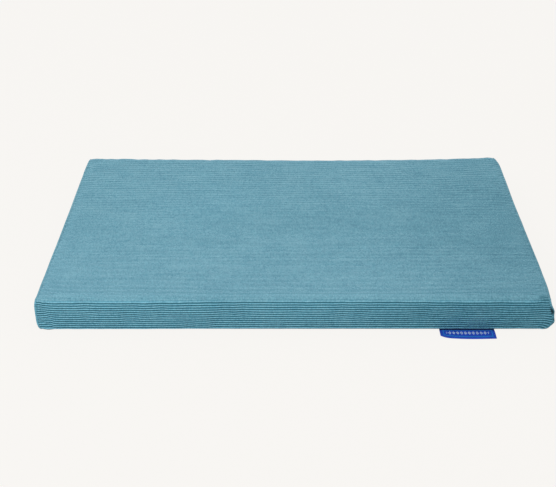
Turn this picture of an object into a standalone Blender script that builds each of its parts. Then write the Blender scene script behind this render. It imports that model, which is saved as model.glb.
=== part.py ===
"""Kneeling pad: a foam slab in a sewn corduroy cover with boxed ends, a grip base, a zip along the back wall and a
woven tab at the front bottom seam.

Metres, +Z up. The origin is the centre of the footprint on the ground, +X to the right of someone facing the tab,
+Y towards the zip. Every piece is a separate closed solid, and neighbours keep a small gap.
"""

import math

import bmesh
import bpy
from mathutils import Matrix, Vector

# Whole pad
WIDTH = 0.600
DEPTH = 0.400
HEIGHT = 0.040
FOLD_R = 0.007  # radius of the cover where the top turns into the front and back walls
X_END = WIDTH / 2
Y_END = DEPTH / 2

# Cover
CLOTH = 0.0012  # corduroy and base cloth thickness
NOTCH = 0.0016  # how far each panel stops short of a sewn corner
GAP = 0.0004  # clearance between neighbouring pieces
PANEL_X = X_END - NOTCH
PANEL_Y = Y_END - NOTCH

# Seam threads
THREAD_R = 0.00035
SEAM_IN = NOTCH / 2  # depth of the seam thread below the outer faces
SEAM_CORNER_R = 0.001  # corners of the loop round the base

# Zip, a nylon coil chain along X in the back wall
ZIP_Z = 0.018
ZIP_GAP = 0.0003  # clearance between the zip's own layers and parts
ZIP_SLOT_X = 0.252  # half length of the opening
ZIP_SLOT_HALF = 0.006  # half height of the opening
SLOT_CUT = 0.005  # reach of the slot's cutter to each side of the outer face
TAPE_X = ZIP_SLOT_X + 0.010
TAPE_OUT_Y = Y_END - CLOTH - ZIP_GAP
TAPE_THICK = 0.0005
TAPE_EDGE = 0.0006  # from the zip's centre line to each tape's inner edge
TAPE_WIDTH = 0.0112
COIL_EDGE = TAPE_EDGE
COIL_WIDTH = 0.0023
COIL_IN_Y = TAPE_OUT_Y + ZIP_GAP
COIL_OUT_Y = 0.2009
COIL_FROM_X = -0.2480
COIL_TO_X = 0.2460
STOP_LENGTH = 0.0024
STOP_OUT_Y = COIL_OUT_Y + 0.0002

# Stitching round the zip
STITCH_OUT = 0.0005  # stitch line centre above the cloth
STITCH_R = 0.0002
STITCH_FROM_EDGE = 0.0022  # from the opening's long edge
STITCH_X = ZIP_SLOT_X + 0.001
TACK_X = ZIP_SLOT_X + 0.0025
TACK_HALF_X = 0.0008
TACK_IN = 0.0003  # inner and outer faces of a bar tack above the cloth
TACK_OUT = 0.0008
TACK_HALF_Z = ZIP_SLOT_HALF + 0.0004

# Slider; its nose, at -X, leads when the zip closes
SLIDER_X = -0.242  # closed
SLIDER_LENGTH = 0.0100
TAIL_WIDTH = 0.0078
NOSE_WIDTH = 0.0092
NOSE_R = 0.0030
TAIL_R = 0.0010
TAPER_X = 0.0006  # where the sides start to narrow, from the slider's middle
PLATE_THICK = 0.0009
FRONT_PLATE_Y = 0.2012  # inner face of the outer plate
BACK_PLATE_Y = 0.1968  # inner face of the plate behind the chain
OVERLAP = 0.0003  # how far joined parts run into a plate
NECK_HALF_Z = 0.0003
NECK_FROM = 0.0008  # start and end of the neck, from the nose
NECK_TO = 0.0044
NECK_FRONT_OVERLAP = 0.0004
RAIL_WIDTH = 0.0007
RAIL_IN_Y = 0.1990
RAIL_END_GAP = 0.0003  # from each end of the plate to the rail's end

# Pull and the bridge it hangs on
PULL_AXIS_Y = FRONT_PLATE_Y + PLATE_THICK + 0.0010
PULL_THICK = 0.0010
PULL_LENGTH = 0.0240
PULL_WIDTH = 0.0048
PULL_TIP_ROUNDING = 0.98  # tip corner radius over half the width
HOLE_HALF_WIDTH = 0.0013
EYE_FROM = -0.0041  # far end of the eye, from the hinge line
EYE_R = 0.0006
GRIP_HOLE_FROM = 0.0018  # start and end of the grip hole, from the tip
GRIP_HOLE_TO = 0.0088
GRIP_HOLE_R = 0.0012
BRIDGE_IN_X = 0.0011  # half width of the bridge's opening
BRIDGE_WALL = 0.0008
BRIDGE_HALF_Z = 0.0009
BRIDGE_RISE = 0.0010  # from the pull's axis to the underside of the bridge
BRIDGE_OUT_R = 0.0010
BRIDGE_IN_R = 0.0004
SLIDER_AT = Vector((SLIDER_X, PULL_AXIS_Y, ZIP_Z))  # on the pull's hinge line

# Foam
FOAM_SIDE_GAP = 0.0014
FOAM_BACK_Y = BACK_PLATE_Y - GAP
FOAM_R = 0.006

# Woven tab, flat at the front bottom seam
TAB_X = 0.2052
TAB_WIDTH = 0.064
TAB_ROOT_Y = -Y_END - 0.0008
TAB_REACH = 0.0206
TAB_LEAN = 0.0006  # how far the free edge is pulled towards +X
TAB_Z = 0.00065
TAB_THICK = 0.0007
TAB_HALF = TAB_WIDTH / 2
# x from the middle of the root, share of the reach; the left free corner is cut off
TAB_OUTLINE = [
    (-TAB_HALF, 0.0),
    (-TAB_HALF + TAB_LEAN * 0.8, 0.80),
    (-TAB_HALF + TAB_LEAN + 0.0035, 0.93),
    (-TAB_HALF + TAB_LEAN + 0.0090, 1.0),
    (TAB_HALF + TAB_LEAN - 0.0010, 1.0),
    (TAB_HALF + TAB_LEAN, 0.95),
    (TAB_HALF, 0.0),
]

# Colours, RGBA
TEAL = (0.150, 0.330, 0.410, 1.0)
TEAL_DARK = (0.055, 0.150, 0.195, 1.0)
CHARCOAL = (0.040, 0.045, 0.050, 1.0)
FOAM_GREY = (0.560, 0.580, 0.590, 1.0)
TAPE_TEAL = (0.080, 0.190, 0.240, 1.0)
NICKEL = (0.560, 0.560, 0.540, 1.0)
TAB_BLUE = (0.008, 0.055, 0.380, 1.0)

STAND_UP = math.pi / 2  # turn about X that takes a plate drawn in XY into the XZ plane


# ---------------------------------------------------------------- scene and objects
def clear_scene():
    for obj in list(bpy.data.objects):
        bpy.data.objects.remove(obj, do_unlink=True)


def collection(name, render=True):
    made = bpy.data.collections.new(name)
    bpy.context.scene.collection.children.link(made)
    made.hide_render = not render
    return made


def material(name, colour, roughness, metallic=0.0, sheen=0.0):
    made = bpy.data.materials.new(name)
    made.use_nodes = True
    shader = made.node_tree.nodes["Principled BSDF"]
    shader.inputs["Base Color"].default_value = colour
    shader.inputs["Roughness"].default_value = roughness
    shader.inputs["Metallic"].default_value = metallic
    shader.inputs["Sheen Weight"].default_value = sheen
    made.diffuse_color = colour
    return made


def place(name, data, mat, location=(0.0, 0.0, 0.0), rotation=(0.0, 0.0, 0.0)):
    """A visible piece of the pad."""
    obj = bpy.data.objects.new(name, data)
    obj.location = location
    obj.rotation_euler = rotation
    data.materials.append(mat)
    PAD.objects.link(obj)
    return obj


def helper(name, data, location=(0.0, 0.0, 0.0)):
    """An unrendered object for a boolean to use."""
    obj = bpy.data.objects.new(name, data)
    obj.location = location
    obj.hide_render = True
    obj.display_type = "WIRE"
    CUTTERS.objects.link(obj)
    return obj


# ---------------------------------------------------------------- modifiers and shading
def bevel(obj, width, segments):
    modifier = obj.modifiers.new("Rounded edges", "BEVEL")
    modifier.width = width
    modifier.segments = segments
    modifier.limit_method = "ANGLE"
    modifier.angle_limit = math.radians(40)


def boolean(obj, other, operation):
    modifier = obj.modifiers.new(operation.title() + " " + other.name, "BOOLEAN")
    modifier.operation = operation
    modifier.object = other
    modifier.solver = "EXACT"


def shell(obj, thickness):
    modifier = obj.modifiers.new("Cloth thickness", "SOLIDIFY")
    modifier.thickness = thickness
    modifier.offset = -1
    modifier.use_even_offset = True


def smooth(obj):
    obj.data.shade_smooth()
    obj.data.set_sharp_from_angle(angle=math.radians(35))


# ---------------------------------------------------------------- outlines
def arc(centre_x, centre_y, radius, start, end, steps):
    """Points on an arc, both ends included. Angles in degrees."""
    angles = [math.radians(start + (end - start) * i / steps) for i in range(steps + 1)]
    return [
        (centre_x + radius * math.cos(angle), centre_y + radius * math.sin(angle))
        for angle in angles
    ]


def rounded_outline(x0, y0, x1, y1, radii, steps):
    """A rectangle's outline, anticlockwise from the lower left corner, one radius per corner."""
    # corner x and y, the directions inwards from it, the angle its arc begins at
    corners = [
        (x0, y0, 1, 1, 180),
        (x1, y0, -1, 1, 270),
        (x1, y1, -1, -1, 0),
        (x0, y1, 1, -1, 90),
    ]
    points = []
    for (x, y, inward_x, inward_y, begin), radius in zip(corners, radii):
        if radius <= 0:
            points.append((x, y))
        else:
            centre = (x + inward_x * radius, y + inward_y * radius)
            points += arc(*centre, radius, begin, begin + 90, steps)
    return points


def wall_profile(inset, bottom, back_bottom, steps):
    """(y, z) points from the front wall's lower edge over the top to the back wall's.

    They follow the cover's outer face, moved in by inset."""
    front, back, top = -Y_END + inset, Y_END - inset, HEIGHT - inset
    radius = FOLD_R - inset
    return (
        [(front, bottom)]
        + arc(front + radius, top - radius, radius, 180, 90, steps)
        + arc(back - radius, top - radius, radius, 90, 0, steps)
        + [(back, back_bottom)]
    )


def span(centre, side, near, far):
    """The (low, high) range between two distances from a centre, on one side of it."""
    return sorted((centre + side * near, centre + side * far))


# ---------------------------------------------------------------- meshes and curves
def finish_mesh(work, name):
    mesh = bpy.data.meshes.new(name)
    work.to_mesh(mesh)
    work.free()
    return mesh


def block_mesh(name, low, high):
    """A cuboid between two corners, in the mesh's own coordinates."""
    low, high = Vector(low), Vector(high)
    work = bmesh.new()
    bmesh.ops.create_cube(work, size=1.0)
    bmesh.ops.scale(work, vec=high - low, verts=work.verts)
    bmesh.ops.translate(work, vec=(high + low) / 2, verts=work.verts)
    return finish_mesh(work, name)


def block(name, low, high, mat):
    return place(name, block_mesh(name, low, high), mat)


def rounded_block(name, low, high, mat, radius, segments):
    obj = block(name, low, high, mat)
    bevel(obj, radius, segments)
    smooth(obj)


def sheet_along_x(name, profile, x0, x1):
    """An open sheet: the profile pulled along X, faces pointing away from the foam."""
    work = bmesh.new()
    verts = [work.verts.new((x0, y, z)) for y, z in profile]
    edges = [work.edges.new(pair) for pair in zip(verts, verts[1:])]
    pulled = bmesh.ops.extrude_edge_only(work, edges=edges)["geom"]
    moved = [item for item in pulled if isinstance(item, bmesh.types.BMVert)]
    bmesh.ops.translate(work, vec=(x1 - x0, 0, 0), verts=moved)
    work.normal_update()
    centre = Vector((0, 0, HEIGHT / 2))
    for face in work.faces:
        if face.normal.dot(face.calc_center_median() - centre) < 0:
            face.normal_flip()
    return finish_mesh(work, name)


def add_polyline(curve, points, cyclic):
    """A straight-sided spline through (x, y, z) points."""
    spline = curve.splines.new("POLY")
    spline.points.add(len(points) - 1)
    for point, position in zip(spline.points, points):
        point.co = (*position, 1.0)
    spline.use_cyclic_u = cyclic


def flat_curve(name, outlines, thickness):
    """A flat plate centred on the curve's own XY plane. Outlines after the first are holes."""
    curve = bpy.data.curves.new(name, "CURVE")
    curve.dimensions = "2D"
    curve.fill_mode = "BOTH"
    curve.extrude = thickness / 2
    for outline in outlines:
        add_polyline(curve, [(x, y, 0.0) for x, y in outline], cyclic=True)
    return curve


def thread(name, points, radius, cyclic=False):
    curve = bpy.data.curves.new(name, "CURVE")
    curve.dimensions = "3D"
    curve.bevel_depth = radius
    curve.bevel_resolution = 2
    curve.use_fill_caps = True
    add_polyline(curve, points, cyclic)
    place(name, curve, THREAD)


def mesh_from_curve(curve):
    """A welded mesh of a curve, so that it can take part in a boolean."""
    carrier = bpy.data.objects.new(curve.name, curve)
    CUTTERS.objects.link(carrier)
    bpy.context.view_layer.update()
    graph = bpy.context.evaluated_depsgraph_get()
    mesh = bpy.data.meshes.new_from_object(carrier.evaluated_get(graph))
    bpy.data.objects.remove(carrier)
    work = bmesh.new()
    work.from_mesh(mesh)
    bmesh.ops.remove_doubles(work, verts=work.verts, dist=1e-6)
    bmesh.ops.recalc_face_normals(work, faces=work.faces)
    work.to_mesh(mesh)
    work.free()
    return mesh


# ---------------------------------------------------------------- foam and cover
def build_foam():
    inside = CLOTH + FOAM_SIDE_GAP
    rounded_block(
        "foam_core",
        (-X_END + inside, -Y_END + inside, CLOTH + GAP),
        (X_END - inside, FOAM_BACK_Y, HEIGHT - CLOTH - GAP),
        FOAM,
        radius=FOAM_R,
        segments=3,
    )


def build_wrap_and_strip():
    """The front, top and back in one cloth, the strip below the zip, and the slot in both."""
    slot_mesh = block_mesh(
        "zip_slot",
        (-ZIP_SLOT_X, Y_END - SLOT_CUT, ZIP_Z - ZIP_SLOT_HALF),
        (ZIP_SLOT_X, Y_END + SLOT_CUT, ZIP_Z + ZIP_SLOT_HALF),
    )
    slot = helper("zip_slot", slot_mesh)

    profile = wall_profile(0.0, NOTCH, ZIP_Z + GAP / 2, steps=8)
    wrap_sheet = sheet_along_x("main_panel", profile, -PANEL_X, PANEL_X)
    wrap = place("main_panel", wrap_sheet, CORDUROY)
    shell(wrap, CLOTH)
    boolean(wrap, slot, "DIFFERENCE")
    smooth(wrap)

    strip = block(
        "back_strip",
        (-PANEL_X, Y_END - CLOTH, NOTCH),
        (PANEL_X, Y_END, ZIP_Z - GAP / 2),
        CORDUROY,
    )
    boolean(strip, slot, "DIFFERENCE")


def build_end_panel(name, side):
    top_r = FOLD_R - NOTCH
    outline = rounded_outline(
        -PANEL_Y, NOTCH, PANEL_Y, HEIGHT - NOTCH, (0, 0, top_r, top_r), steps=6
    )
    place(
        name,
        flat_curve(name, [outline], CLOTH),
        CORDUROY,
        location=(side * (X_END - CLOTH / 2), 0, 0),
        rotation=(STAND_UP, 0, math.pi / 2),  # stood up, then turned to face along X
    )


def build_base():
    block("base_panel", (-PANEL_X, -PANEL_Y, 0), (PANEL_X, PANEL_Y, CLOTH), BASE_CLOTH)


def build_seam_threads():
    seam_x, seam_y = X_END - SEAM_IN, Y_END - SEAM_IN
    for side, word in ((-1, "left"), (1, "right")):
        profile = wall_profile(SEAM_IN, NOTCH, NOTCH, steps=6)
        thread("seam_thread_" + word, [(side * seam_x, y, z) for y, z in profile], THREAD_R)

    loop = rounded_outline(-seam_x, -seam_y, seam_x, seam_y, (SEAM_CORNER_R,) * 4, steps=4)
    thread("seam_thread_base", [(x, y, SEAM_IN) for x, y in loop], THREAD_R, cyclic=True)


# ---------------------------------------------------------------- zip chain and its stitching
def build_zip_side(side, word):
    """The tape, coil, top stop and stitch line above or below the zip's centre line."""
    low, high = span(ZIP_Z, side, TAPE_EDGE, TAPE_EDGE + TAPE_WIDTH)
    block(
        "zip_tape_" + word,
        (-TAPE_X, TAPE_OUT_Y - TAPE_THICK, low),
        (TAPE_X, TAPE_OUT_Y, high),
        TAPE,
    )

    low, high = span(ZIP_Z, side, COIL_EDGE, COIL_EDGE + COIL_WIDTH)
    rounded_block(
        "zip_coil_" + word,
        (COIL_FROM_X, COIL_IN_Y, low),
        (COIL_TO_X, COIL_OUT_Y, high),
        COIL,
        radius=0.0007,
        segments=2,
    )
    stop_x = COIL_FROM_X - ZIP_GAP
    rounded_block(
        "zip_top_stop_" + word,
        (stop_x - STOP_LENGTH, COIL_IN_Y, low),
        (stop_x, STOP_OUT_Y, high),
        METAL,
        radius=0.0004,
        segments=2,
    )

    stitch_z = ZIP_Z + side * (ZIP_SLOT_HALF + STITCH_FROM_EDGE)
    ends = [(x, Y_END + STITCH_OUT, stitch_z) for x in (-STITCH_X, STITCH_X)]
    thread("zip_stitch_" + word, ends, STITCH_R)


def build_bottom_stop():
    """One stop across both coils, at the +X end."""
    stop_x = COIL_TO_X + ZIP_GAP
    half_height = COIL_EDGE + COIL_WIDTH
    rounded_block(
        "zip_bottom_stop",
        (stop_x, COIL_IN_Y, ZIP_Z - half_height),
        (stop_x + STOP_LENGTH, STOP_OUT_Y, ZIP_Z + half_height),
        METAL,
        radius=0.0005,
        segments=2,
    )


def build_bar_tack(side, word):
    tack = block(
        "bar_tack_" + word,
        (side * TACK_X - TACK_HALF_X, Y_END + TACK_IN, ZIP_Z - TACK_HALF_Z),
        (side * TACK_X + TACK_HALF_X, Y_END + TACK_OUT, ZIP_Z + TACK_HALF_Z),
        THREAD,
    )
    bevel(tack, width=0.0002, segments=1)


# ---------------------------------------------------------------- slider
def slider_plate_mesh(name, inner_y):
    """A plate with a round nose and a narrower tail, facing along Y, about the slider's origin."""
    half_length, half_tail, half_nose = SLIDER_LENGTH / 2, TAIL_WIDTH / 2, NOSE_WIDTH / 2
    nose_x, nose_y = -half_length + NOSE_R, half_nose - NOSE_R  # arc centres
    tail_x, tail_y = half_length - TAIL_R, half_tail - TAIL_R
    outline = (
        arc(nose_x, -nose_y, NOSE_R, 180, 270, 5)
        + [(TAPER_X, -half_nose)]
        + arc(tail_x, -tail_y, TAIL_R, 270, 360, 4)
        + arc(tail_x, tail_y, TAIL_R, 0, 90, 4)
        + [(TAPER_X, half_nose)]
        + arc(nose_x, nose_y, NOSE_R, 90, 180, 5)
    )
    mesh = mesh_from_curve(flat_curve(name, [outline], PLATE_THICK))
    shift = Matrix.Translation((0, inner_y + PLATE_THICK / 2 - PULL_AXIS_Y, 0))
    mesh.transform(shift @ Matrix.Rotation(STAND_UP, 4, "X"))
    return mesh


def slider_block(name, x_range, y_range, z_range):
    """A helper block: x and z from the slider's origin, y in the pad's own frame."""
    low, high = (
        (x, y - PULL_AXIS_Y, z) for x, y, z in zip(x_range, y_range, z_range)
    )
    return helper(name, block_mesh(name, low, high), SLIDER_AT)


def slider_neck():
    nose = -SLIDER_LENGTH / 2
    return slider_block(
        "slider_neck",
        (nose + NECK_FROM, nose + NECK_TO),
        (BACK_PLATE_Y + OVERLAP, FRONT_PLATE_Y + NECK_FRONT_OVERLAP),
        (-NECK_HALF_Z, NECK_HALF_Z),
    )


def slider_rail(side, word):
    """A rail along one long side of the outer plate, reaching in towards the tape."""
    half_length = SLIDER_LENGTH / 2 - RAIL_END_GAP
    return slider_block(
        "slider_rail_" + word,
        (-half_length, half_length),
        (RAIL_IN_Y, FRONT_PLATE_Y + OVERLAP),
        span(0.0, side, TAIL_WIDTH / 2 - RAIL_WIDTH, TAIL_WIDTH / 2),
    )


def slider_bridge():
    """The bridge the pull hangs on: an arch in the XY plane over the pull's cross bar."""
    foot = FRONT_PLATE_Y + PLATE_THICK - OVERLAP - PULL_AXIS_Y
    out_x = BRIDGE_IN_X + BRIDGE_WALL
    out_arc_x, out_arc_y = out_x - BRIDGE_OUT_R, BRIDGE_RISE + BRIDGE_WALL - BRIDGE_OUT_R
    in_arc_x, in_arc_y = BRIDGE_IN_X - BRIDGE_IN_R, BRIDGE_RISE - BRIDGE_IN_R
    arch = (
        [(-out_x, foot)]
        + arc(-out_arc_x, out_arc_y, BRIDGE_OUT_R, 180, 90, 4)
        + arc(out_arc_x, out_arc_y, BRIDGE_OUT_R, 90, 0, 4)
        + [(out_x, foot), (BRIDGE_IN_X, foot)]
        + arc(in_arc_x, in_arc_y, BRIDGE_IN_R, 0, 90, 3)
        + arc(-in_arc_x, in_arc_y, BRIDGE_IN_R, 90, 180, 3)
        + [(-BRIDGE_IN_X, foot)]
    )
    mesh = mesh_from_curve(flat_curve("slider_bridge", [arch], BRIDGE_HALF_Z * 2))
    return helper("slider_bridge", mesh, SLIDER_AT)


def build_slider():
    outer_plate = slider_plate_mesh("zip_slider", FRONT_PLATE_Y)
    slider = place("zip_slider", outer_plate, METAL, SLIDER_AT)
    inner_plate = slider_plate_mesh("slider_inner_plate", BACK_PLATE_Y)
    parts = [
        slider_neck(),
        helper("slider_inner_plate", inner_plate, SLIDER_AT),
        slider_rail(1, "upper"),
        slider_rail(-1, "lower"),
        slider_bridge(),
    ]
    for part in parts:
        boolean(slider, part, "UNION")


# ---------------------------------------------------------------- pull and tab
def build_pull():
    """Drawn in XY and stood up, so that its width runs along Z and its thickness along Y."""
    half_width = PULL_WIDTH / 2
    bar = PULL_THICK / 2  # half width of the cross bar on the hinge line
    tip = -PULL_LENGTH
    tip_r = half_width * PULL_TIP_ROUNDING
    outer = rounded_outline(tip, -half_width, bar, half_width, (tip_r, bar, bar, tip_r), 6)
    eye = rounded_outline(
        EYE_FROM, -HOLE_HALF_WIDTH, -bar, HOLE_HALF_WIDTH, (EYE_R,) * 4, steps=3
    )
    grip = rounded_outline(
        tip + GRIP_HOLE_FROM,
        -HOLE_HALF_WIDTH,
        tip + GRIP_HOLE_TO,
        HOLE_HALF_WIDTH,
        (GRIP_HOLE_R,) * 4,
        steps=4,
    )
    plate = flat_curve("zip_pull", [outer, eye, grip], PULL_THICK)
    place("zip_pull", plate, METAL, location=SLIDER_AT, rotation=(STAND_UP, 0, 0))


def build_tab():
    """The origin is the middle of its root edge."""
    outline = [(x, -TAB_REACH * share) for x, share in TAB_OUTLINE]
    plate = flat_curve("woven_tab", [outline], TAB_THICK)
    place("woven_tab", plate, TAB, location=(TAB_X, TAB_ROOT_Y, TAB_Z))


# ---------------------------------------------------------------- build
clear_scene()
PAD = collection("Kneeling pad")
CUTTERS = collection("Cutters", render=False)

CORDUROY = material("corduroy", TEAL, roughness=0.95, sheen=0.6)
BASE_CLOTH = material("grip_base", CHARCOAL, roughness=0.85)
FOAM = material("foam", FOAM_GREY, roughness=0.9)
THREAD = material("thread", TEAL_DARK, roughness=0.7)
TAPE = material("zip_tape", TAPE_TEAL, roughness=0.85)
COIL = material("zip_coil", TEAL_DARK, roughness=0.4)
METAL = material("zip_metal", NICKEL, roughness=0.3, metallic=1.0)
TAB = material("woven_tab", TAB_BLUE, roughness=0.6, sheen=0.2)

build_foam()
build_wrap_and_strip()
build_end_panel("end_panel_left", -1)
build_end_panel("end_panel_right", 1)
build_base()
build_seam_threads()
build_zip_side(1, "upper")
build_zip_side(-1, "lower")
build_bottom_stop()
build_bar_tack(-1, "left")
build_bar_tack(1, "right")
build_slider()
build_pull()
build_tab()
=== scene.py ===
"""A kneeling pad: a ribbed corduroy cover over a foam slab, with a zip in the back wall, a dotted
base and a woven tab at the front.

The pad lies flat on the floor, centred on the origin. x runs along its length, y from the front
(negative) to the back, and z up from the floor. Units are metres.

The cover is built in three layers: a plain form (where the cloth runs), ribs raised on it, and one
deformation shared by every piece, so that panels, threads and foam stay together.
"""

import math

import bmesh
import bpy
import numpy as np
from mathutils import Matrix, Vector, kdtree


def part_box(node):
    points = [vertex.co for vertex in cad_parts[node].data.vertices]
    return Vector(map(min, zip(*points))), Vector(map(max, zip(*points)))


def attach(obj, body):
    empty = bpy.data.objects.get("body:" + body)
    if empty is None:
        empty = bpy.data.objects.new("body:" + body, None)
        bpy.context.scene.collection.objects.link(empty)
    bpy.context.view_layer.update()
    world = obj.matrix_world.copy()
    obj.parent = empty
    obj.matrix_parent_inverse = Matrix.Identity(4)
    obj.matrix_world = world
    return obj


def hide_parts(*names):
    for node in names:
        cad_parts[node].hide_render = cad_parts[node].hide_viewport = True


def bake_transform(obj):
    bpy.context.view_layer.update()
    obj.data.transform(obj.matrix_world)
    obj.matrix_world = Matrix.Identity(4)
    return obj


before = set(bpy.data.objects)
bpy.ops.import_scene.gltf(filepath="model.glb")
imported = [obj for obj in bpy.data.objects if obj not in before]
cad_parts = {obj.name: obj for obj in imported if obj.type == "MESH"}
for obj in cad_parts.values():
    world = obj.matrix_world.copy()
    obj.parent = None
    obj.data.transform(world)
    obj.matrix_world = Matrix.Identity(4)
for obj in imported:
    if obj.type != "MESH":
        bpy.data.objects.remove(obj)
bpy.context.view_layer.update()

SCENE = bpy.context.scene
MM = 0.001
SIDES = {"left": -1, "right": 1}
HALVES = ("upper", "lower")  # of the zip

# ------------------------------------------------------------------ sizes
_main_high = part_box("main_panel")[1]
HALF_DEPTH = _main_high.y
TOP = _main_high.z
HALF_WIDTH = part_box("end_panel_right")[1].x
ZIP_Z = (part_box("zip_coil_lower")[0].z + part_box("zip_coil_upper")[1].z) / 2
SLOT_HALF_HEIGHT = 0.0060  # opening in the cover over the zip
SLOT_HALF_WIDTH = 0.2520
RIB_PITCH = 0.0029
RIB_HEIGHT = 0.0010
GROOVE_DEPTH = 0.0006  # how far a groove lies below the plain form
ROWS_PER_RIB = 5  # on the main panel
FRONT_FOLD_R = 0.0056
BACK_FOLD_R = 0.0046
RIM_R = 0.0017  # an end panel's rim rolls over at this radius,
DIVE_R = 0.0005  # then dives into the seam at this one
FLOOR_GAP = 0.0006
SEAM_X = HALF_WIDTH - RIM_R - DIVE_R + 0.0004  # where the main panel ends in the side seam
WRAP_TURN_R = 0.0007  # turned-in ends of the main panel and back strip
TUCK_R = 0.0016  # foot of the front and back walls

# Arc length along the wrap, from the foot of the front wall, up, over the top and down the back
RUN_START = -0.0020
RUN_TUCK = TUCK_R * math.pi / 2
RUN_FOLD = RUN_TUCK + (TOP - FRONT_FOLD_R) - (FLOOR_GAP + TUCK_R)
RUN_TOP = RUN_FOLD + FRONT_FOLD_R * math.pi / 2
RUN_TOP_END = RUN_TOP + 2 * HALF_DEPTH - FRONT_FOLD_R - BACK_FOLD_R
RUN_BACK = RUN_TOP_END + BACK_FOLD_R * math.pi / 2

BASE_HALF_X, BASE_HALF_Y = 0.2972, 0.1972
BASE_Z = 0.0007

TAB_LEFT, TAB_RIGHT = 0.1728, 0.2376
TAB_ROOT = -0.2008  # y where the tab leaves the front seam


# ------------------------------------------------------------------ curves and noise
def smoothstep(amount):
    amount = np.clip(amount, 0, 1)
    return amount * amount * (3 - 2 * amount)


def ease(values, start, span):
    """0 at start to 1 at start + span. A negative span rises towards lower values."""
    return smoothstep((values - start) / span)


def bell(values, centre, width):
    return np.exp(-(((values - centre) / width) ** 2))


def dome(values, centre, half_width):
    return np.clip(1 - ((values - centre) / half_width) ** 2, 0, 1)


def lattice_noise(across, along, seed, octaves=2):
    """Smooth noise over two coordinates, in units of one cell, roughly -1 to 1."""
    total = np.zeros(np.broadcast(across, along).shape)
    for octave in range(octaves):
        table = np.random.default_rng(seed + 31 * octave).uniform(-1, 1, (64, 64))
        scaled_a, scaled_b = np.asarray(across) * 2**octave, np.asarray(along) * 2**octave
        i, j = np.floor(scaled_a).astype(int), np.floor(scaled_b).astype(int)
        part_a, part_b = smoothstep(scaled_a - i), smoothstep(scaled_b - j)

        def blend_row(row):
            near, far = table[i % 64, row % 64], table[(i + 1) % 64, row % 64]
            return near * (1 - part_a) + far * part_a

        total = total + (blend_row(j) * (1 - part_b) + blend_row(j + 1) * part_b) * 0.55**octave
    return total


def rib_shape(run, first_groove):
    """Height 0 to 1 across the ribs; 0 in the grooves."""
    phase = ((run - first_groove) / RIB_PITCH) % 1.0
    return np.clip(0.5 - 0.5 * np.cos(2 * math.pi * phase), 0, 1) ** 0.50


# ------------------------------------------------------------------ mesh helpers
def coords(obj):
    flat = np.empty(len(obj.data.vertices) * 3)
    obj.data.vertices.foreach_get("co", flat)
    return flat.reshape(-1, 3)


def add_attribute(mesh, name, values):
    layer = mesh.attributes.new(name, "FLOAT", "POINT")
    layer.data.foreach_set("value", np.asarray(values, np.float32))


def link_smooth(name, mesh):
    mesh.polygons.foreach_set("use_smooth", [True] * len(mesh.polygons))
    obj = bpy.data.objects.new(name, mesh)
    SCENE.collection.objects.link(obj)
    return obj


def mesh_object(name, verts, faces, attributes=None):
    """A smooth object from closed surfaces, with its faces turned outwards."""
    mesh = bpy.data.meshes.new(name)
    points = np.asarray(verts, float).reshape(-1, 3).tolist()
    mesh.from_pydata(points, [], [tuple(int(i) for i in face) for face in faces])
    mesh.validate()
    for key, values in (attributes or {}).items():
        add_attribute(mesh, key, values)
    obj = link_smooth(name, mesh)
    bm = bmesh.new()
    bm.from_mesh(mesh)
    bmesh.ops.recalc_face_normals(bm, faces=bm.faces)
    bm.to_mesh(mesh)
    bm.free()
    return obj


def grid_quads(ids):
    corners = ids[:-1, :-1], ids[1:, :-1], ids[1:, 1:], ids[:-1, 1:]
    return np.stack([corner.ravel() for corner in corners], 1)


def thick_sheet(name, outer, inner, row_step, column_step, attributes):
    """A closed sheet: a fine outer grid, a coarse inner grid taken every few rows and columns,
    and strips that join their rims. outer and inner are (rows, columns, 3)."""
    rows, columns = outer.shape[:2]
    coarse_rows = sorted({*range(0, rows, row_step), rows - 1})
    coarse_columns = sorted({*range(0, columns, column_step), columns - 1})
    picked = np.ix_(coarse_rows, coarse_columns)
    verts = np.concatenate([outer.reshape(-1, 3), inner[picked].reshape(-1, 3)])
    fine = np.arange(rows * columns).reshape(rows, columns)
    coarse = np.arange(rows * columns, len(verts)).reshape(len(coarse_rows), -1)
    faces = [*grid_quads(fine), *grid_quads(coarse)[:, ::-1]]
    for fine_rim, coarse_rim, marks, turned in (
        (fine[0], coarse[0], coarse_columns, False),
        (fine[-1], coarse[-1], coarse_columns, True),
        (fine[:, 0], coarse[:, 0], coarse_rows, True),
        (fine[:, -1], coarse[:, -1], coarse_rows, False),
    ):
        triangles = []
        for k in range(len(marks) - 1):
            for m in range(marks[k], marks[k + 1]):
                triangles.append((coarse_rim[k], fine_rim[m], fine_rim[m + 1]))
            triangles.append((coarse_rim[k], fine_rim[marks[k + 1]], coarse_rim[k + 1]))
        faces += [tri[::-1] if turned else tri for tri in triangles]
    full = {}
    for key, values in attributes.items():
        values = np.asarray(values, float).reshape(rows, columns)
        full[key] = np.concatenate([values.ravel(), values[picked].ravel()])
    return mesh_object(name, verts, faces, full)


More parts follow.
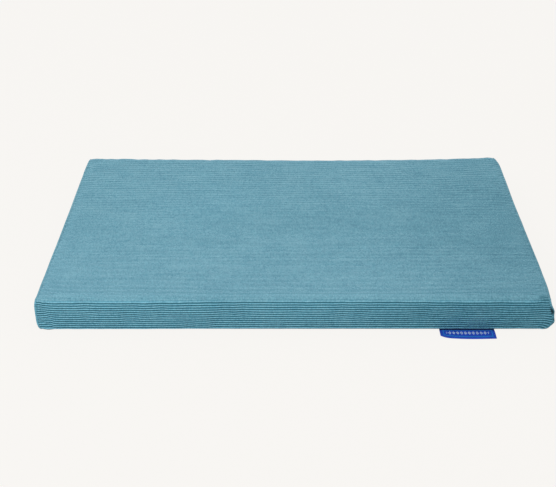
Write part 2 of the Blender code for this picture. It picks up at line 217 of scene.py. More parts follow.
def tube(points, radius, sides=5):
    """Vertices and faces of a capped tube along points."""
    count = len(points)
    tangent = np.gradient(points, axis=0)
    tangent /= np.linalg.norm(tangent, axis=1, keepdims=True) + 1e-12
    reference = np.tile(np.array([0.0, 0.0, 1.0]), (count, 1))
    reference[np.abs(tangent[:, 2]) > 0.9] = (0.0, 1.0, 0.0)
    side = np.cross(tangent, reference)
    side /= np.linalg.norm(side, axis=1, keepdims=True)
    # keep the frame from turning over between points
    for k in range(1, count):
        if side[k] @ side[k - 1] < 0:
            side[k] *= -1
    up = np.cross(side, tangent)
    angle = (np.arange(sides) * 2 * math.pi / sides)[None, :, None]
    ring = side[:, None, :] * np.cos(angle) + up[:, None, :] * np.sin(angle)
    radius = np.broadcast_to(np.asarray(radius, float), (count,))
    verts = points[:, None, :] + ring * radius[:, None, None]
    faces = []
    for k in range(count - 1):
        for m in range(sides):
            here, after = k * sides + m, k * sides + (m + 1) % sides
            faces.append((here, after, after + sides, here + sides))
    faces.append(tuple(range(sides))[::-1])
    faces.append(tuple((count - 1) * sides + m for m in range(sides)))
    return verts.reshape(-1, 3), faces


def merge(parts):
    verts, faces, offset = [], [], 0
    for part_verts, part_faces in parts:
        verts.append(part_verts)
        faces += [tuple(i + offset for i in face) for face in part_faces]
        offset += len(part_verts)
    return np.concatenate(verts), faces


def rounded_box(name, low, high, radius, cell, segments):
    """A closed box with rounded edges whose faces are cut into a grid of roughly cell."""
    low, high = np.asarray(low, float), np.asarray(high, float)
    bm = bmesh.new()
    bmesh.ops.create_cube(bm, size=1.0)
    bmesh.ops.scale(bm, vec=tuple(high - low), verts=bm.verts)
    bmesh.ops.translate(bm, vec=tuple((high + low) / 2), verts=bm.verts)
    bmesh.ops.bevel(
        bm, geom=list(bm.edges), offset=radius, segments=segments,
        profile=0.5, affect="EDGES", clamp_overlap=True,
    )
    for axis in range(3):
        flat = high[axis] - low[axis] - 2 * radius
        cuts = int(flat / cell[axis])
        for k in range(1, cuts):
            place, normal = [0.0] * 3, [0.0] * 3
            place[axis] = low[axis] + radius + flat * k / cuts
            normal[axis] = 1.0
            everything = bm.verts[:] + bm.edges[:] + bm.faces[:]
            bmesh.ops.bisect_plane(bm, geom=everything, plane_co=place, plane_no=normal)
    mesh = bpy.data.meshes.new(name)
    bm.to_mesh(mesh)
    bm.free()
    return link_smooth(name, mesh)


# ------------------------------------------------------------------ the shared deformation
# Outward movement of each end of the pad, in mm. Rows are stations in y, columns in z.
OUT_Z = np.array([0, 1.7, 4.3, 7, 9.5, 11, 15, 24, 31, 38, 40]) * MM
RIGHT_Y = np.array([-200, -194, -188, -170, -155, -131, -70, 68, 146, 177, 187, 194, 198, 201]) * MM
RIGHT_OUT = np.array([
    [-1.2, 0.6, 3.1, 5.2, 7.2, 7.8, 7.0, 5.3, 2.9, 0.9, 0.2],
    [-0.8, 0.6, 2.8, 4.8, 6.6, 7.2, 6.6, 5.2, 3.1, 1.4, 0.9],
    [0.9, 1.3, 2.5, 4.0, 5.6, 6.2, 5.9, 4.9, 3.2, 2.0, 1.7],
    [0.5, 0.8, 1.5, 2.6, 3.6, 4.1, 4.2, 4.0, 3.3, 2.8, 2.7],
    [0.0, 0.2, 0.7, 1.3, 2.0, 2.4, 2.8, 3.2, 3.2, 3.0, 3.0],
    [0.0, 0.2, 0.6, 1.2, 1.8, 2.2, 2.7, 3.1, 3.2, 3.1, 3.0],
    [0.0, 0.2, 0.6, 1.1, 1.7, 2.0, 2.5, 3.0, 3.0, 2.9, 2.9],
    [0.0, 0.1, 0.4, 0.7, 1.0, 1.2, 1.5, 1.7, 1.6, 1.5, 1.4],
    [0.0, 0.1, 0.3, 0.6, 0.8, 1.0, 1.2, 1.2, 1.2, 1.0, 1.0],
    [0.0, 0.0, 0.2, 0.4, 0.5, 0.6, 0.7, 0.7, 0.6, 0.5, 0.5],
    [-0.2, -0.2, -0.1, 0.0, 0.0, 0.0, 0.0, -0.1, -0.4, -0.8, -0.9],
    [-0.8, -0.8, -0.8, -0.8, -0.9, -0.9, -1.0, -1.3, -1.8, -2.4, -2.6],
    [-1.6, -1.6, -1.7, -1.8, -1.9, -2.0, -2.2, -2.6, -3.3, -4.2, -4.4],
    [-2.4, -2.4, -2.6, -2.8, -3.0, -3.1, -3.4, -4.0, -4.8, -5.8, -6.0],
]) * MM
LEFT_Y = np.array([-200, -194, -188, -170, -140, 0, 150, 186, 194, 198, 201]) * MM
LEFT_OUT = np.array([
    [-3.3, -2.0, -0.8, 0.0, 0.5, 0.7, 0.9, 1.3, 1.3, 0.1, -0.6],
    [-2.7, -1.7, -0.7, 0.0, 0.4, 0.6, 0.8, 1.2, 1.2, 0.1, -0.6],
    [-1.0, -0.7, -0.4, 0.0, 0.3, 0.5, 0.7, 1.1, 1.0, 0.0, -0.6],
    [-0.5, -0.4, -0.3, -0.1, 0.1, 0.3, 0.5, 0.7, 0.6, -0.1, -0.5],
    [-0.3, -0.3, -0.3, -0.3, -0.2, -0.1, 0.1, 0.3, 0.2, -0.2, -0.4],
    [0.0, 0.0, 0.0, 0.0, 0.0, 0.0, 0.1, 0.2, 0.0, -0.3, -0.5],
    [0.0, 0.0, 0.0, 0.0, 0.0, 0.0, 0.1, 0.2, 0.0, -0.3, -0.4],
    [0.0, 0.0, 0.0, 0.0, 0.0, 0.0, 0.0, 0.0, -0.2, -0.6, -0.7],
    [-0.3, -0.3, -0.3, -0.3, -0.3, -0.3, -0.4, -0.6, -0.9, -1.4, -1.5],
    [-0.7, -0.7, -0.7, -0.7, -0.7, -0.8, -0.9, -1.2, -1.7, -2.3, -2.5],
    [-1.3, -1.3, -1.3, -1.4, -1.4, -1.5, -1.6, -2.0, -2.6, -3.3, -3.5],
]) * MM
# Rise of the back edge of the top: x and height, in mm
BACK_X = np.array([-300, -289, -195, -113, -30, 52, 135, 197, 240, 262, 280, 291, 300]) * MM
BACK_RISE = np.array([1.6, 2.4, 1.6, 1.1, 0.4, 0.0, 0.7, 1.5, 2.4, 3.3, 3.8, 4.5, 3.7]) * MM

# Soft dents along a line: centre, direction, half length, half width, depth, outward direction.
# Four are puckers at the front corners, three are slack near the right end of the top.
CREASES = (
    ((-0.2915, -0.200, 0.0105), (1.0, 0.0, -0.45), 0.0065, 0.0016, 0.0011, (0, -1, 0)),
    ((-0.2850, -0.200, 0.0060), (1.0, 0.0, -0.6), 0.0060, 0.0014, 0.0007, (0, -1, 0)),
    ((0.2940, -0.200, 0.0090), (1.0, 0.0, -0.9), 0.0070, 0.0016, 0.0010, (0, -1, 0)),
    ((0.2870, -0.200, 0.0060), (1.0, 0.0, -0.5), 0.0070, 0.0015, 0.0006, (0, -1, 0)),
    ((0.2780, -0.120, 0.0400), (0.55, 1.0, 0.0), 0.0300, 0.0050, 0.0006, (0, 0, 1)),
    ((0.2560, -0.090, 0.0400), (0.35, 1.0, 0.0), 0.0350, 0.0060, 0.0005, (0, 0, 1)),
    ((0.2700, -0.165, 0.0400), (1.0, 0.4, 0.0), 0.0200, 0.0050, 0.0005, (0, 0, 1)),
)


def crease(points, centre, direction, half_length, half_width, depth, outward):
    offset = points - np.asarray(centre)
    direction = np.asarray(direction, float)
    direction = direction / np.linalg.norm(direction)
    along = offset @ direction
    aside = offset - along[:, None] * direction
    aside_squared = np.einsum("ij,ij->i", aside, aside)
    weight = np.exp(-((along / half_length) ** 2)) * np.exp(-(aside_squared / half_width**2))
    return -depth * weight[:, None] * np.asarray(outward, float)[None, :]


def from_table(row_at, column_at, row_knots, column_knots, table):
    """Bilinear lookup."""
    row = np.interp(row_at, row_knots, np.arange(len(row_knots)))
    column = np.interp(column_at, column_knots, np.arange(len(column_knots)))
    i = np.clip(np.floor(row).astype(int), 0, len(row_knots) - 2)
    j = np.clip(np.floor(column).astype(int), 0, len(column_knots) - 2)
    row_part, column_part = row - i, column - j
    low = table[i, j] * (1 - row_part) + table[i + 1, j] * row_part
    high = table[i, j + 1] * (1 - row_part) + table[i + 1, j + 1] * row_part
    return low * (1 - column_part) + high * column_part


def designed_shift(points):
    """Slack, corners that spring up or pull in, and walls that swell."""
    x, y, z = points.T
    shift = np.zeros_like(points)
    up = np.clip(z / TOP, 0, 1)  # the underside stays on the ground
    # the back edge dips between its corners
    shift[:, 2] += np.interp(x, BACK_X, BACK_RISE) * ease(y, 0.020, 0.178) * up
    # a slight crown over the rest of the top
    shift[:, 2] += 0.0007 * dome(x, 0, 0.30) * dome(y, -0.03, 0.17) * up
    # front wall: swollen at mid height, less so at its ends, and pushed forward at its foot
    front = ease(y, -0.180, -0.016)
    towards_middle = 0.35 + 0.65 * ease(np.abs(x), HALF_WIDTH, -0.05)
    shift[:, 1] -= 0.0010 * dome(z, 0.0185, 0.0195) * front * towards_middle
    foot = 0.72 + 0.28 * ease(x, -0.120, -0.060)
    shift[:, 1] -= 0.0012 * foot * (1 - ease(z, 0, 0.024)) * front
    # a small fold of slack at the foot of the left front corner
    shift[:, 1] -= 0.0014 * bell(x, -0.2895, 0.0050) * (1 - ease(z, 0, 0.007)) * front
    # the two ends
    shift[:, 0] += ease(x, 0.262, 0.033) * from_table(y, z, RIGHT_Y, OUT_Z, RIGHT_OUT)
    shift[:, 0] -= ease(x, -0.262, -0.033) * from_table(y, z, LEFT_Y, OUT_Z, LEFT_OUT)
    # slow unevenness of foam and cloth
    shift[:, 2] += 0.00028 * lattice_noise(x / 0.085 + 9, y / 0.07 + 9, seed=3) * up
    for dent in CREASES:
        shift += crease(points, *dent)
    return shift


SLACK = 0.0022  # the simulated movement levels off towards this


def simulate_cover():
    """Blows a coarse copy of the cover up against its seams. Returns a tree of its rest points and
    the movement of each."""
    form = rounded_box(
        "cloth_form", (-HALF_WIDTH, -HALF_DEPTH, FLOOR_GAP), (HALF_WIDTH, HALF_DEPTH, TOP),
        radius=0.004, cell=(0.0075, 0.0075, 0.006), segments=2,
    )
    rest = coords(form)
    across, y, z = np.abs(rest[:, 0]), rest[:, 1], rest[:, 2]
    # the ground and the zip hold the cloth fast, the end seams less, and the foam's edges least
    ground = z < FLOOR_GAP + 0.0022
    zip_line = (y > HALF_DEPTH - 0.002) & (np.abs(z - ZIP_Z) < 0.010) & (across < 0.262)
    seam = (across > SEAM_X - 0.0022) & (across < SEAM_X + 0.0016)
    foam_line = (np.abs(np.abs(y) - (HALF_DEPTH - 0.0012)) < 0.0025) & (z > TOP - 0.004)
    sewn = form.vertex_groups.new(name="sewn")
    held = np.zeros(len(rest), bool)
    for mask, weight in ((ground | zip_line, 1.0), (seam, 0.85), (foam_line, 0.6)):
        sewn.add([int(i) for i in np.nonzero(mask & ~held)[0]], weight, "REPLACE")
        held |= mask
    cloth = form.modifiers.new("Cloth", "CLOTH")
    settings = cloth.settings
    settings.quality = 6
    settings.mass = 0.3
    settings.tension_stiffness = 40
    settings.compression_stiffness = 25
    settings.shear_stiffness = 12
    settings.bending_stiffness = 1.2
    settings.use_pressure = True
    settings.uniform_pressure_force = 4.0
    settings.pin_stiffness = 4.0
    settings.vertex_group_mass = "sewn"
    settings.shrink_min = -0.012
    settings.effector_weights.gravity = 0.0
    cloth.collision_settings.use_collision = False
    cloth.point_cache.frame_start, cloth.point_cache.frame_end = 1, 20
    for frame_number in range(1, 21):
        SCENE.frame_set(frame_number)
    evaluated = form.evaluated_get(bpy.context.evaluated_depsgraph_get())
    result = evaluated.to_mesh()
    blown = np.empty(len(result.vertices) * 3)
    result.vertices.foreach_get("co", blown)
    shift = blown.reshape(-1, 3) - rest
    evaluated.to_mesh_clear()
    SCENE.frame_set(1)
    form.modifiers.remove(cloth)
    # the foam holds the shape, so large movements are held back
    size = np.linalg.norm(shift, axis=1)
    shift = shift * (SLACK / (SLACK + size))[:, None]
    tree = kdtree.KDTree(len(rest))
    for k, point in enumerate(rest):
        tree.insert(point, k)
    tree.balance()
    bpy.data.objects.remove(form)
    return tree, shift


cloth_field = simulate_cover()


def simulated_shift(points):
    """The simulated movement, blended from the six nearest rest points."""
    if cloth_field is None:
        return np.zeros_like(points)
    tree, shift = cloth_field
    blended = np.empty_like(points)
    for k, point in enumerate(points):
        found = tree.find_n(point, 6)
        weights = np.array([1.0 / (distance + 1e-4) ** 2 for _, _, distance in found])
        nearest = shift[[index for _, index, _ in found]]
        blended[k] = (nearest * weights[:, None]).sum(0) / weights.sum()
    return blended


def zip_mask(points):
    """0 where the zip runs, so that the slider keeps its track, 1 elsewhere."""
    x, y, z = points.T
    low = 1 - ease(z, 0.0245, 0.0140)
    inside = 1 - ease(np.abs(x), 0.262, 0.016)
    return 1 - ease(y, 0.182, 0.012) * low * inside


def deform(points, base=None):
    """Moves points with the cover. base is where they sit on the plain form, which decides how
    far they move."""
    shape = points.shape
    points = points.reshape(-1, 3)
    base = points if base is None else base.reshape(-1, 3)
    shift = designed_shift(base) + simulated_shift(base)
    shift *= zip_mask(base)[:, None]
    return (points + shift).reshape(shape)


# ------------------------------------------------------------------ the main panel and back strip
# Columns near each end, measured in from the turned edge
FINE_COLUMNS = np.array([
    0, 1.2, 2.4, 3.8, 5.4, 7.2, 9.2, 11.6, 14.4, 17.6,
    21.2, 25.2, 29.6, 34.6, 40.2, 46.6, 54, 62, 71, 81,
]) / 1000
MIDDLE_COLUMN = 0.0105  # spacing over the middle


def wrap_columns(fine):
    """x of every column, and how far its cloth drops where the ends turn in."""
    angle = np.radians(82 - 82 * np.arange(5) / 5)
    turned_x = -SEAM_X + WRAP_TURN_R - WRAP_TURN_R * np.sin(angle)
    left_x = np.concatenate([turned_x, -SEAM_X + WRAP_TURN_R + fine])
    left_drop = np.concatenate([WRAP_TURN_R * (1 - np.cos(angle)), np.zeros(len(fine))])
    start = left_x[-1]
    steps = round(-2 * start / MIDDLE_COLUMN)
    middle = start - 2 * start * np.arange(1, steps) / steps
    x = np.concatenate([left_x, middle, -left_x[::-1]])
    drop = np.concatenate([left_drop, np.zeros(len(middle)), left_drop[::-1]])
    return x, drop


def run_at_back_height(z):
    return RUN_BACK + (TOP - BACK_FOLD_R) - z


def wrap_surface(x, run):
    """Points and outward normals of the plain wrap at arc length run."""
    tuck = np.clip(run, 0, RUN_TUCK) / TUCK_R
    fold = np.clip(run - RUN_FOLD, 0, RUN_TOP - RUN_FOLD) / FRONT_FOLD_R
    back_fold = np.clip(run - RUN_TOP_END, 0, RUN_BACK - RUN_TOP_END) / BACK_FOLD_R
    under = np.minimum(run, 0)
    front_wall = np.clip(run - RUN_TUCK, 0, RUN_FOLD - RUN_TUCK)
    top = np.clip(run - RUN_TOP, 0, RUN_TOP_END - RUN_TOP)
    back_wall = np.maximum(run - RUN_BACK, 0)
    y = (
        -HALF_DEPTH + TUCK_R * (1 - np.sin(tuck)) - under
        + FRONT_FOLD_R * (1 - np.cos(fold)) + top + BACK_FOLD_R * np.sin(back_fold)
    )
    z = (
        FLOOR_GAP + TUCK_R * (1 - np.cos(tuck)) + front_wall
        + FRONT_FOLD_R * np.sin(fold) - BACK_FOLD_R * (1 - np.cos(back_fold)) - back_wall
    )
    turned = tuck + fold + back_fold
    normal = np.stack([np.zeros_like(run), -np.sin(turned), -np.cos(turned)], -1)
    return np.stack([x, y, z], -1), normal


def gape(y, z):
    """1 where the right front seam stands open a little, 0 elsewhere."""
    return bell(z, 0.0253, 0.0046) * ease(y, -0.186, -0.010)


def pricks(y, z):
    """Two stitches pulled tight lower down the same seam."""
    return (bell(z, 0.0092, 0.0011) + bell(z, 0.0142, 0.0013)) * ease(y, -0.186, -0.010)


def wrap_sheet(name, base, normal, lift, drop, lip, gap, rib, edge, along, run_step):
    """Ribbed cloth over the plain form: lip turns the cut edge in, and gap opens the end seam."""
    x = base[..., 0]
    outer = base + normal * (lift - drop - 0.0009 * lip**2 - 0.0004 * gap)[..., None]
    outer[..., 0] = x - 0.0004 * gap
    # the cloth behind is a plain offset, under the grooves
    inner = base + normal * (-GROOVE_DEPTH - 0.0010 - drop - 0.0005 * lip)[..., None]
    inner[..., 0] = np.clip(x, -(SEAM_X - 0.0004), SEAM_X - 0.0004) - 0.0004 * gap
    end = np.clip(1 - (SEAM_X - np.abs(x)) / 0.0022, 0, 1)
    # edge carries painted shade for the fold, dark carries painted shade in the open seam
    marks = {"rib": rib, "edge": edge, "end": end, "dark": gap * end**2.5, "along": along}
    return thick_sheet(name, deform(outer, base), deform(inner, base), 3, run_step, marks)


def build_main_panel():
    """Front wall, top and the upper part of the back wall, in one piece."""
    columns, drops = wrap_columns(FINE_COLUMNS)
    first_groove = 0.0007
    stop_closed = run_at_back_height(ZIP_Z + 0.00015)
    stop_open = run_at_back_height(ZIP_Z + SLOT_HALF_HEIGHT)
    ribs = int((stop_closed - RUN_START) / RIB_PITCH) + 3
    steps = np.arange(-ROWS_PER_RIB * 2, ribs * ROWS_PER_RIB)
    rows = first_groove + steps * RIB_PITCH / ROWS_PER_RIB
    rows = rows[(rows > RUN_START + 0.0002) & (rows < stop_closed - 0.0002)]
    rows = np.concatenate([[RUN_START], rows, [stop_closed]])
    heights = rib_shape(rows, first_groove)
    heights[0] = heights[-1] = 0.0
    plain_run, x = np.meshgrid(rows, columns)
    # over the zip the last rows are squeezed to stop at the opening
    open_here = ease(np.abs(x), SLOT_HALF_WIDTH, -0.0006)
    limit = stop_closed + (stop_open - stop_closed) * open_here
    squeeze_from = RUN_BACK - 0.002
    squeeze = np.clip((plain_run - squeeze_from) / (stop_closed - squeeze_from), 0, 1)
    squeezed = squeeze_from + squeeze * (limit - squeeze_from)
    run = np.where(plain_run > squeeze_from, squeezed, plain_run)
    changed = np.abs(run - plain_run) > 1e-7
    rib = np.where(changed, rib_shape(run, first_groove), heights)

    # ribs wander, jump half a rib at the left end of the front wall and dip at its right end
    z = wrap_surface(x, run)[0][..., 2]
    on_top = ease(run, RUN_TOP - 0.002, 0.006)
    noise = lattice_noise(x / 0.11 + 20, run / 0.02 + 20, seed=11)
    wander = (0.00012 - 0.00008 * on_top) * noise
    front = 1 - ease(run, RUN_FOLD + 0.004, 0.008)
    jump_z = [0.004, 0.012, 0.020, 0.028, 0.036]
    jump_x = np.interp(z, jump_z, [-0.2825, -0.2810, -0.2855, -0.2905, -0.2925])
    jump = ease(x, jump_x + 0.0018, -0.0036)
    dip = ease(x, 0.2850, 0.0135) ** 1.5 * ease(z, 0.024, -0.016)
    curl = ease(x, 0.2860, 0.0110) * bell(run, RUN_TOP + 0.001, 0.0050)
    drift = 0.00112 * ease(x, -0.20, 0.18)
    fade = ease(run, RUN_START, 0.006) * ease(run, stop_open, -0.01)
    run = run + (wander + front * (0.00145 * jump - 0.0027 * dip) + 0.0026 * curl + drift) * fade
    base, normal = wrap_surface(x, run)
    y, z = base[..., 1], base[..., 2]

    # on the top the pile half fills the grooves, more so towards the front and on the fold
    filled = on_top * (0.36 - 0.18 * ease(y, -0.16, 0.26)) * (run < RUN_TOP_END + 0.004)
    fold_fill = 0.66 + 0.22 * ease(run, RUN_FOLD + 0.0040, 0.0040)
    fold_fill = fold_fill * (1 - 0.75 * ease(x, 0.2845, 0.0075))
    fold_fill *= ease(run, RUN_FOLD + 0.0022, 0.0010) * ease(run, RUN_FOLD + 0.0210, -0.0110)
    rib = 1 - (1 - rib) * (1 - np.maximum(filled, fold_fill))
    noise = lattice_noise(x / 0.03 + 5, run / RIB_PITCH / 2 + 5, seed=17)
    uneven = 1 + 0.10 * noise * (1 - 0.6 * on_top)
    pressed = 0.55 + 0.45 * ease(np.abs(x), SEAM_X, -0.0035)  # flatter beside the seams
    return wrap_sheet(
        "cover_main_panel", base, normal,
        lift=-GROOVE_DEPTH + RIB_HEIGHT * rib * uneven * pressed,
        drop=drops[:, None],
        lip=ease(run, limit - 0.0011, 0.0011) * open_here,
        gap=gape(y, z) * ease(x, 0.2925, 0.0040),
        rib=rib,
        # painted shade along the front fold
        edge=bell(run, RUN_FOLD + 0.0084, 0.0052),
        along=run,
        run_step=ROWS_PER_RIB * 2,
    )


def build_back_strip():
    """The back wall below the zip. It follows the foot of the wrap, mirrored to the back."""
    columns, drops = wrap_columns(FINE_COLUMNS[::2])
    foot_z = FLOOR_GAP + TUCK_R
    closed_z = ZIP_Z - 0.00015
    wall_z = foot_z + np.arange(40) * RIB_PITCH / 6
    wall_z = np.append(wall_z[wall_z < closed_z - 0.0003], closed_z)
    tuck_rows = [-0.0020, -0.0012, -0.0004] + [RUN_TUCK * k / 5 for k in range(5)]
    rows = np.concatenate([tuck_rows, RUN_TUCK + (wall_z - foot_z)])
    run, x = np.meshgrid(rows, columns)
    stop_closed = RUN_TUCK + closed_z - foot_z
    stop_open = RUN_TUCK + ZIP_Z - SLOT_HALF_HEIGHT - foot_z
    open_here = ease(np.abs(x), SLOT_HALF_WIDTH, -0.0006)
    limit = stop_closed + (stop_open - stop_closed) * open_here
    squeeze = (limit - RUN_TUCK) / (stop_closed - RUN_TUCK)
    run = np.where(run > RUN_TUCK, RUN_TUCK + (run - RUN_TUCK) * squeeze, run)
    rib = rib_shape(run, first_groove=0.0009)
    rib[:, 0] = 0
    mirror = np.array([1, -1, 1])
    base, normal = (part * mirror for part in wrap_surface(x, run))
    uneven = 1 + 0.10 * lattice_noise(x / 0.02 + 15, run / RIB_PITCH / 2 + 5, seed=23)
    zero = np.zeros_like(run)
    return wrap_sheet(
        "cover_back_strip", base, normal,
        lift=-GROOVE_DEPTH + RIB_HEIGHT * rib * uneven,
        drop=drops[:, None],
        lip=ease(run, limit - 0.0011, 0.0011) * (0.25 + 0.75 * open_here),
        gap=zero,
        rib=rib,
        edge=zero,
        along=run + 0.5,
        run_step=6,
    )


# ------------------------------------------------------------------ the end panels
# Columns near the front and back edges of the flat cloth, measured in from the edge
END_COLUMNS = np.array([
    0, 0.35, 0.7, 1.05, 1.4, 1.8, 2.3, 2.9, 3.6, 4.6, 6, 8, 11,
    15, 20, 27, 36, 48, 62, 78, 96, 116, 138, 160, 182,
]) / 1000


def build_end_panel(which):
    """A flat face whose rim rolls over every edge and dives into the seam."""
    side = SIDES[which]
    bottom_r = RIM_R + 0.0012
    roll_run = RIM_R * math.pi / 2
    rim_run = roll_run + DIVE_R * math.pi / 2 * 0.92
    grow = rim_run - RIM_R  # how far the flat cloth runs past the finished outline
    cloth_top, cloth_bottom = TOP + grow, FLOOR_GAP - grow
    steps = int((cloth_top - cloth_bottom) / (RIB_PITCH / 8))
    rows = cloth_bottom + np.arange(steps + 1) * (cloth_top - cloth_bottom) / steps
    half = HALF_DEPTH + grow
    front = -half + END_COLUMNS
    z, share = np.meshgrid(rows, np.concatenate([front, [0.0], -front[::-1]]) / half)
    # rows shorten round the corners
    top_r = np.where(share < 0, FRONT_FOLD_R, BACK_FOLD_R)
    row_half = np.full_like(z, half)
    for radius, past in (
        (top_r + grow, z - (cloth_top - (top_r + grow))),
        (bottom_r + grow, (cloth_bottom + bottom_r + grow) - z),
    ):
        arc = half - radius + np.sqrt(np.clip(radius**2 - past**2, 0, None))
        row_half = np.where(past > 0, arc, row_half)
    y = share * row_half
    # distance past the flat region, and its direction in the plane of the panel
    upper = z > (FLOOR_GAP + TOP) / 2
    flat_r = np.where(upper, top_r - RIM_R, bottom_r - RIM_R)
    past_y = np.abs(y) - (HALF_DEPTH - RIM_R - flat_r)
    past_top = z - (TOP - RIM_R - flat_r)
    past_bottom = (FLOOR_GAP + RIM_R + flat_r) - z
    past_z = np.where(upper, past_top, past_bottom)
    corner = (past_y > 0) & (past_z > 0)
    corner_past = np.sqrt(np.clip(past_y, 0, None) ** 2 + np.clip(past_z, 0, None) ** 2)
    past_flat = np.where(corner, corner_past, np.maximum(past_y, past_z)) - flat_r
    length = np.hypot(past_y, past_z) + 1e-12
    weight_y = np.where(corner, past_y / length, (past_y >= past_z).astype(float))
    weight_z = np.where(corner, past_z / length, (past_y < past_z).astype(float))
    direction = np.stack([np.sign(y) * weight_y, np.where(upper, 1.0, -1.0) * weight_z], -1)
    # roll that distance over the rim and into the seam
    rolled = np.clip(past_flat, 0, rim_run)
    roll = np.clip(rolled / RIM_R, 0, math.pi / 2)
    dive = np.clip((rolled - roll_run) / DIVE_R, 0, math.pi / 2)
    reach = RIM_R * np.sin(roll) - DIVE_R * (1 - np.cos(dive))
    x = HALF_WIDTH - RIM_R * (1 - np.cos(roll)) - DIVE_R * np.sin(dive)
    flat_place = np.stack([y, z], -1) - direction * np.maximum(past_flat, 0)[..., None]
    place = flat_place + direction * reach[..., None]
    base = np.concatenate([x[..., None], place], -1)
    turned = np.where(dive > 0, math.pi / 2 + dive, roll)[..., None]
    normal = np.concatenate([np.cos(turned), direction * np.sin(turned)], -1)

    rib = np.broadcast_to(rib_shape(rows, first_groove=cloth_bottom + 0.0004), z.shape)
    uneven = 1 + 0.10 * lattice_noise(y / 0.02 + 15, z / RIB_PITCH / 2 + 5, seed=29 + side)
    on_rim = ease(past_flat, -0.0030, 0.0030)
    rib = 1 - (1 - rib) * (1 - 0.72 * on_rim)
    height = 0.62 * on_rim + rib * uneven * (1 - 0.62 * on_rim)
    outer = base + normal * (-GROOVE_DEPTH + RIB_HEIGHT * height)[..., None]
    only_right = side > 0
    gap = gape(base[..., 1], base[..., 2]) * only_right
    outer[..., 0] += 0.0012 * gap
    inner = base + normal * (-GROOVE_DEPTH - 0.0009)
    # marks for the material: edge is painted shade on the rolled rim, dark is painted shade in the
    # open seam and two dark marks at the pulled stitches
    from_edge = rim_run - past_flat
    open_gap = gap * np.clip(1.25 - from_edge / 0.0024, 0, 1)
    near_stitch = np.clip(1.3 - np.abs(from_edge - 0.0014) / 0.0012, 0, 1)
    prick = pricks(base[..., 1], base[..., 2]) * only_right * near_stitch
    marks = {
        "rib": rib,
        "edge": 0.9 * on_rim,
        "end": np.clip(1 - from_edge / 0.0018, 0, 1),
        "dark": np.clip(open_gap + 0.9 * prick, 0, 1),
        "along": z + 1.0 + 0.5 * side,
    }
    mirror = np.array([side, 1, 1])
    base, outer, inner = base * mirror, outer * mirror, inner * mirror
    outer, inner = deform(outer, base), deform(inner, base)
    return thick_sheet("cover_end_panel_" + which, outer, inner, 4, 8, marks)


# ------------------------------------------------------------------ foam and base
def build_foam():
    low_z, high_z = 0.0026, 0.0374
    foam = rounded_box(
        "foam_slab", (-0.2962, -0.1970, low_z), (0.2962, 0.1955, high_z),
        radius=0.0045, cell=(0.010, 0.010, 0.010), segments=4,
    )
    rest = coords(foam)
    # each point moves as the cover outside it does, but a little less
    outward = rest * np.array([0.3 / 0.2962, 0.2 / 0.1965, 1.0])
    outward[:, 2] = (rest[:, 2] - low_z) / (high_z - low_z) * TOP
    moved = rest + (deform(outward) - outward) * 0.92
    moved[:, 2] = np.maximum(moved[:, 2], 0.0024)
    foam.data.vertices.foreach_set("co", moved.ravel())
    foam.data.update()
    return foam


def base_unevenness(x, y):
    return 0.00012 * lattice_noise(x / 0.05 + 8, y / 0.05 + 8, seed=71)


def build_base():
    """The base cloth: its rim tucks up into the seams."""
    # columns measured in from the edge, in mm
    inward = np.array([0, 0.5, 1.1, 1.9, 3, 5, 8, 12, 17, 24, 34, 48, 66, 90, 120, 160, 200, 245])
    inward = inward / 1000
    inward_y = inward[inward < 0.17]
    columns = np.concatenate([-BASE_HALF_X + inward, [0.0], BASE_HALF_X - inward[::-1]])
    rows = np.concatenate([-BASE_HALF_Y + inward_y, [0.0], BASE_HALF_Y - inward_y[::-1]])
    x, y = np.meshgrid(columns, rows, indexing="ij")
    inset = np.minimum(BASE_HALF_X - np.abs(x), BASE_HALF_Y - np.abs(y))
    z = BASE_Z + 0.0011 * (1 - ease(inset, 0, 0.0022))
    z = z + base_unevenness(x, y) * ease(inset, 0, 0.02)
    base = np.stack([x, y, np.zeros_like(x)], -1)
    low = deform(np.stack([x, y, z], -1), base)
    high = deform(np.stack([x * 0.9985, y * 0.9985, z + 0.0009], -1), base)
    return thick_sheet("base_cloth", low, high, 2, 2, {"rim": np.clip(1 - inset / 0.003, 0, 1)})


def build_dots():
    """Rubber grip dots in rows, every other row set half a step along."""
    step, margin, sides = 0.0125, 0.010, 10
    row_step = step * 0.866
    angle = np.arange(sides) * 2 * math.pi / sides
    faces = []
    for k in range(3):
        for m in range(sides):
            here, after = k * sides + m, k * sides + (m + 1) % sides
            faces.append((here, after, after + sides, here + sides))
    faces += [tuple(range(sides)), tuple(3 * sides + m for m in range(sides))[::-1]]
    parts = []
    rows = int(2 * (BASE_HALF_Y - margin) / row_step)
    for row in range(rows + 1):
        y = -(rows * row_step) / 2 + row * row_step
        count = int(2 * (BASE_HALF_X - margin) / step) - (row % 2)
        for k in range(count + 1):
            x = -(count * step) / 2 + k * step
            cloth_z = BASE_Z + base_unevenness(x, y)
            rings = [  # radius, z
                (0.00175, cloth_z + 0.0002), (0.00165, cloth_z - 0.0003),
                (0.00115, 0.00006), (0.0005, 0.0),
            ]
            verts = []
            for radius, z in rings:
                circle_x, circle_y = x + radius * np.cos(angle), y + radius * np.sin(angle)
                verts.append(np.stack([circle_x, circle_y, np.full(sides, z)], 1))
            parts.append((np.concatenate(verts), faces))
    verts, faces = merge(parts)
    return mesh_object("grip_dots", deform(verts, verts * np.array([1, 1, 0])), faces)


# ------------------------------------------------------------------ threads
def resample(path, spacing):
    path = np.asarray(path, float)
    lengths = np.linalg.norm(np.diff(path, axis=0), axis=1)
    run = np.concatenate([[0], np.cumsum(lengths)])
    at = np.linspace(0, run[-1], int(round(run[-1] / spacing)) + 1)
    return np.stack([np.interp(at, run, path[:, k]) for k in range(3)], 1)


